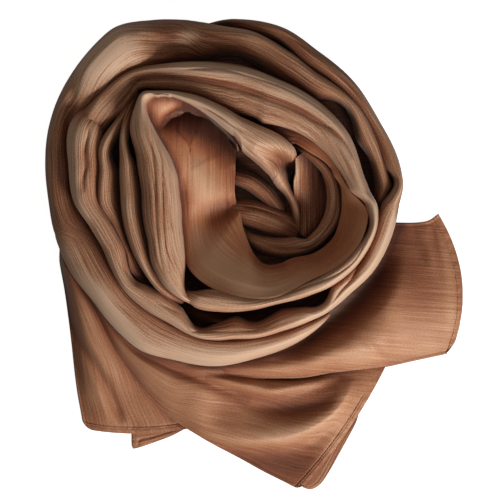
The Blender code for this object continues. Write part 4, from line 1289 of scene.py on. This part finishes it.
def satinMaterial(name, group, values):
    # satin in four tones, read by the painted shading (painted shade in creases, painted highlight
    # on crests) plus the lines, patches and grain, each of them shifted by amount * (2 * noise -
    # 1);
    # a fine bump catches the light
    material = bpy.data.materials.new(name)
    material.use_nodes = True
    n, link = material.node_tree.nodes, material.node_tree.links
    shader = n["Principled BSDF"]
    place = n.new("ShaderNodeUVMap")
    place.uv_map = "flat"
    lines = n.new("ShaderNodeGroup")
    lines.node_tree = group
    lines.inputs["Lines across"].default_value = values["linesAcross"]
    lines.inputs["Lines along"].default_value = values["linesAlong"]
    link.new(place.outputs[0], lines.inputs["Place"])
    # the painted shading: painted shade in creases and hollows, painted highlight on crests
    paintedShading = n.new("ShaderNodeAttribute")
    paintedShading.attribute_name = "paintedShading"
    tone = paintedShading.outputs["Fac"]
    for source in ("Lines", "Cloud", "Grain"):
        amount = values[source.lower()]
        shift = n.new("ShaderNodeMath")
        shift.operation = "MULTIPLY_ADD"
        shift.inputs[1].default_value = amount * 2
        shift.inputs[2].default_value = -amount
        link.new(lines.outputs[source], shift.inputs[0])
        add = n.new("ShaderNodeMath")
        add.operation = "ADD"
        link.new(tone, add.inputs[0])
        link.new(shift.outputs[0], add.inputs[1])
        tone = add.outputs[0]
    ramp = n.new("ShaderNodeValToRGB")
    stops = ramp.color_ramp.elements
    for k, key in enumerate(("deep", "shade", "base", "pale")):
        stop = stops[k] if k < 2 else stops.new(values["places"][k])
        stop.position = values["places"][k]
        stop.color = (*values[key], 1)
    link.new(tone, ramp.inputs[0])
    link.new(ramp.outputs[0], shader.inputs["Base Color"])
    bump = n.new("ShaderNodeBump")
    bump.inputs["Strength"].default_value = values["bump"]
    bump.inputs["Distance"].default_value = values["bumpDistance"]
    link.new(lines.outputs["Lines"], bump.inputs["Height"])
    link.new(bump.outputs[0], shader.inputs["Normal"])
    shader.inputs["Roughness"].default_value = values["roughness"]
    shader.inputs["Specular IOR Level"].default_value = values["specular"]
    shader.inputs["Specular Tint"].default_value = (*values["specularTint"], 1)
    shader.inputs["Sheen Weight"].default_value = values["sheen"]
    shader.inputs["Sheen Roughness"].default_value = values["sheenRoughness"]
    shader.inputs["Sheen Tint"].default_value = (*values["sheenTint"], 1)
    return material


crinkleLines = crinkleGroup()
satins = {
    "copper": satinMaterial("copperSatin", crinkleLines, satin),
    "calm": satinMaterial("calmSatin", crinkleLines, {**satin, **calmer}),
    # the bowl's lining, with painted light from the cloth round it
    "warm": satinMaterial("paintedBowlLightSatin", crinkleLines, {**satin, **paintedBowlLight}),
}
print("materials made")


def addCloth(name, node, piece, cloth, paintedShading):
    # one stretch of cloth in place of its node
    item = clothShell(name, *cloth, paintedShading)
    item.data.materials.append(satins[piece.get("satin", "copper")])
    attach(item, "root")
    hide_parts(node)
    area = sum(p.area for p in item.data.polygons) / 2
    print(f"{name}: {len(item.data.polygons)} faces, area {area:.4f} m2")


core = {
    "edge": [(0, 98), (6, 102), (12, 103.5), (20, 102), (40, 101), (60, 104), (75, 114),
             (84, 118), (92, 118), (110, 121), (130, 128), (150, 127), (175, 118), (200, 110),
             (225, 104), (250, 101), (275, 97), (300, 95), (330, 94), (350, 95), (360, 97)],
    "flareFrom": 12.0,  # heights between which the bun widens to its edge
    "flareTo": 16.0,
    "swellAt": 262,  # bearing where a hidden layer shows in the pocket under the rim
    "swellAround": 24,
    "swellRise": 15,
    "swellRadius": 87,
    "swellWide": 6.5,
    "swellFoot": 12,
    "around": 180,
    "sidePoints": 41,
    "bendPoints": 14,
    "topRings": 60,
    "sideShare": 0.82,  # shares of its rise that are side and bend
    "bendShare": 0.14,
    "rise": 21.5,
    "tuck": 1.6,
    "layers": 5,
    "wave": 0.8,
    "ringPitch": 6.5,
    "sway": 0.6,
    "paintedShadeFrom": 24,  # height over which the bun's painted shade gets paler: the bun is painted dark as the shade in the pockets
    "paintedShadeRise": 0.02,
    "fill": 0.5,
    "seed": 170,
}


def makeCore(name, piece):
    # the hidden inner layers, a bun turned round the hub: its side swells and draws in once for
    # each layer and widens to its edge by a smooth step, a quarter circle bends it inwards, and
    # its top is rippled in rings like the edges of cloth that stand side by side
    turns = np.arange(piece["around"]) * 2 * math.pi / piece["around"]
    up = np.linspace(0.02, piece["sideShare"], piece["sidePoints"])
    swell = np.abs(np.cos(up * math.pi * piece["layers"] / piece["sideShare"]))
    edge = whole["coreRadius"] - piece["tuck"] * swell
    edgeZ = up * piece["rise"]
    bend = np.linspace(0, math.pi / 2, piece["bendPoints"])[1:]
    drawn = piece["bendShare"] * piece["rise"]
    roundR = edge[-1] - drawn * (1 - np.cos(bend))
    roundZ = edgeZ[-1] + drawn * np.sin(bend)
    topR = roundR[-1] * np.linspace(1, 0.01, piece["topRings"])[1:]
    ripple = 0.5 - 0.5 * np.cos(topR * 2 * math.pi / piece["ringPitch"])
    topZ = piece["rise"] - piece["wave"] * ripple
    radius = np.concatenate([edge, roundR, topR])[None, :]
    z = np.concatenate([edgeZ, roundZ, topZ])[None, :]
    bearing = np.degrees(turns)[:, None]
    sway = noise(bearing + 0 * radius, z + radius, 40.0, 9.0, piece["seed"])
    reach = columnsOf(piece["edge"], bearing[:, 0])[0][:, None] / whole["coreRadius"]
    flare = ease((z - piece["flareFrom"]) / (piece["flareTo"] - piece["flareFrom"]))
    radius = radius * (1 + (reach - 1) * flare) + piece["sway"] * sway * (radius > 5)
    about = np.exp(-(((bearing - piece["swellAt"]) / piece["swellAround"]) ** 2))
    ring = np.exp(-(((radius - piece["swellRadius"]) / piece["swellWide"]) ** 2))
    z = z + piece["swellRise"] * about * ring * (z > piece["swellFoot"])
    points = aboutHub(radius, bearing, z)
    rows, cols = points.shape[:2]
    index = np.arange(rows * cols).reshape(rows, cols)
    after = np.roll(index, -1, axis=0)
    quads = np.stack([index[:, :-1], after[:, :-1], after[:, 1:], index[:, 1:]], axis=-1)
    low, high = rows * cols, rows * cols + 1
    under = np.stack([after[:, 0], index[:, 0], np.full(rows, low)], axis=-1)
    over = np.stack([index[:, -1], after[:, -1], np.full(rows, high)], axis=-1)
    ends = np.array([[0, 0, edgeZ[0]], [0, 0, topZ[-1]]])
    points = np.concatenate([points.reshape(-1, 3), ends])
    places = points[:, :2] * whole["mm"]
    # painted shading of the bun: painted dark as the shade of the pockets, a little paler higher up
    paintedShadingValues = piece["paintedShadeRise"] * np.clip(points[:, 2] - piece["paintedShadeFrom"], 0, 12)
    points = points + np.array([whole["hubX"], whole["hubY"], 0])
    loops = np.concatenate([quads.ravel(), under.ravel(), over.ravel()])
    sizes = np.concatenate([np.full(quads.size // 4, 4), np.full(2 * rows, 3)])
    item = meshOf(name, points * whole["mm"], loops, sizes, places, paintedShadingValues)
    item.data.materials.append(satins["copper"])
    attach(item, "root")
    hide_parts("core")


print("shapes begin")
shaped = {}
for name, node, piece, surface in (
    ("outerWrap", "outer_wrap", outerWrap, turnSurface),
    ("outerTurn", "outer_turn", outerTurn, turnSurface),
    ("secondTurn", "second_turn", secondTurn, turnSurface),
    ("sideFold", "side_fold", sideFold, turnSurface),
    ("innerFold", "inner_fold", innerFold, turnSurface),
    ("innerTurn", "inner_turn", innerTurn, turnSurface),
    ("heartRing", "heart_ring", heartRing, turnSurface),
    ("petalCloth", "petal", petal, bowlSurface),
    ("heartWall", "heart_wall", heartWall, bowlSurface),
    ("heartBand", "heart_band", heartBand, rollSurface),
    ("heartRoll", "heart_roll", heartRoll, rollSurface),
    ("leftEnd", "left_end", leftEnd, flapSurface),
    ("lowerEnd", "lower_end", lowerEnd, flapSurface),
    ("rightEnd", "right_end", rightEnd, flapSurface),
    ("leftEndLayer", "left_end_layer", leftEndLayer, flapSurface),
    ("lowerEndLayer", "lower_end_layer", lowerEndLayer, flapSurface),
):
    k = whole["coarse"]  # counts of points are cut to fit the coarse inner side
    piece["along"] = (piece["along"] - 1) // k * k + 1
    piece["across"] = (piece["across"] - 1) // k * k + 1
    points, fade = surface(piece)
    shaped[name] = (node, piece, dressed(points, piece, fade))
print("cloth shaped")

# painted shading: each point's height against the blurred heights round it
plan = heightMap([cloth[0] for node, piece, cloth in shaped.values()])
spread = (plan > 0).astype(float)
fields = [
    (blurred(plan, reach) / np.maximum(blurred(spread, reach), 0.05), gain)
    for reach, gain in whole["paintedShadingGains"]
]
for name, (node, piece, cloth) in shaped.items():
    skin = cloth[0]
    # painted shade strokes, and below zero painted highlights, are taken off the painted shading
    shade = creaseDepth(skin[..., 0], skin[..., 1], piece.get("shades", []))
    paintedShading = paintedShadingOf(skin, fields) - shade
    addCloth(name, node, piece, cloth, np.clip(paintedShading, 0, 1))
makeCore("coreLayers", core)
print("cloth laid")

studio = {
    "floorTone": 0.45,
    "floorGlow": 0.93,
    "keyPower": 28.0,
    "keySize": 0.6,
    "keyPlace": (0.79, -1.00, 0.735),
    "topPower": 0.9,
    "topSize": 1.2,
    "topPlace": (0.1, 0.3, 1.5),
    "worldTone": (1.0, 0.94, 0.87),
    "worldStrength": 0.205,
    "floorHalf": 3.0,
    "floorRoughness": 0.9,
    "lens": 400.0,
    "sensor": 36.0,
    "frameWidth": 0.350,  # metres across the picture at the height of the cloth
    "frameHeight": 0.03,
    "frameRow": 250,  # row of the plan at the middle of the picture
}


def areaLight(name, place, size, power):
    # a round soft light that looks at the origin
    data = bpy.data.lights.new(name, "AREA")
    data.shape = "DISK"
    data.size = size
    data.energy = power
    item = bpy.data.objects.new(name, data)
    bpy.context.scene.collection.objects.link(item)
    item.location = place
    x, y, z = place
    item.rotation_euler = (math.atan2(math.hypot(x, y), z), 0, math.atan2(y, x) + math.pi / 2)


areaLight("keyLight", studio["keyPlace"], studio["keySize"], studio["keyPower"])
areaLight("topLight", studio["topPlace"], studio["topSize"], studio["topPower"])

world = bpy.data.worlds.new("studio")
bpy.context.scene.world = world
world.use_nodes = True
sky = world.node_tree.nodes["Background"].inputs
sky[0].default_value = (*studio["worldTone"], 1)
sky[1].default_value = studio["worldStrength"]

floorMesh = bpy.data.meshes.new("floor")
half = studio["floorHalf"]
floorMesh.from_pydata(
    [(-half, -half, 0), (half, -half, 0), (half, half, 0), (-half, half, 0)], [], [(0, 1, 2, 3)]
)
floor = bpy.data.objects.new("floor", floorMesh)
bpy.context.scene.collection.objects.link(floor)
paper = bpy.data.materials.new("paleFloor")
paper.use_nodes = True
sockets = paper.node_tree.nodes["Principled BSDF"].inputs
sockets["Base Color"].default_value = (*[studio["floorTone"]] * 3, 1)
sockets["Roughness"].default_value = studio["floorRoughness"]
sockets["Emission Color"].default_value = (1, 1, 1, 1)
sockets["Emission Strength"].default_value = studio["floorGlow"]
floorMesh.materials.append(paper)
floor.visible_diffuse = False  # the floor's glow is for the camera and lights no cloth
floor.visible_glossy = False

cameraData = bpy.data.cameras.new("camera")
cameraData.lens = studio["lens"]
cameraData.sensor_width = studio["sensor"]
camera = bpy.data.objects.new("camera", cameraData)
bpy.context.scene.collection.objects.link(camera)
away = studio["frameWidth"] * studio["lens"] / studio["sensor"]
centreX = whole["hubX"] * whole["mm"]
down = (studio["frameRow"] - whole["hubRow"]) * whole["planSquare"]
centreY = (whole["hubY"] - down) * whole["mm"]
camera.location = (centreX, centreY, studio["frameHeight"] + away)
cameraData.clip_start, cameraData.clip_end = 0.1, 20.0
bpy.context.scene.camera = camera
bpy.context.scene.view_settings.view_transform = "Standard"
print("studio set")
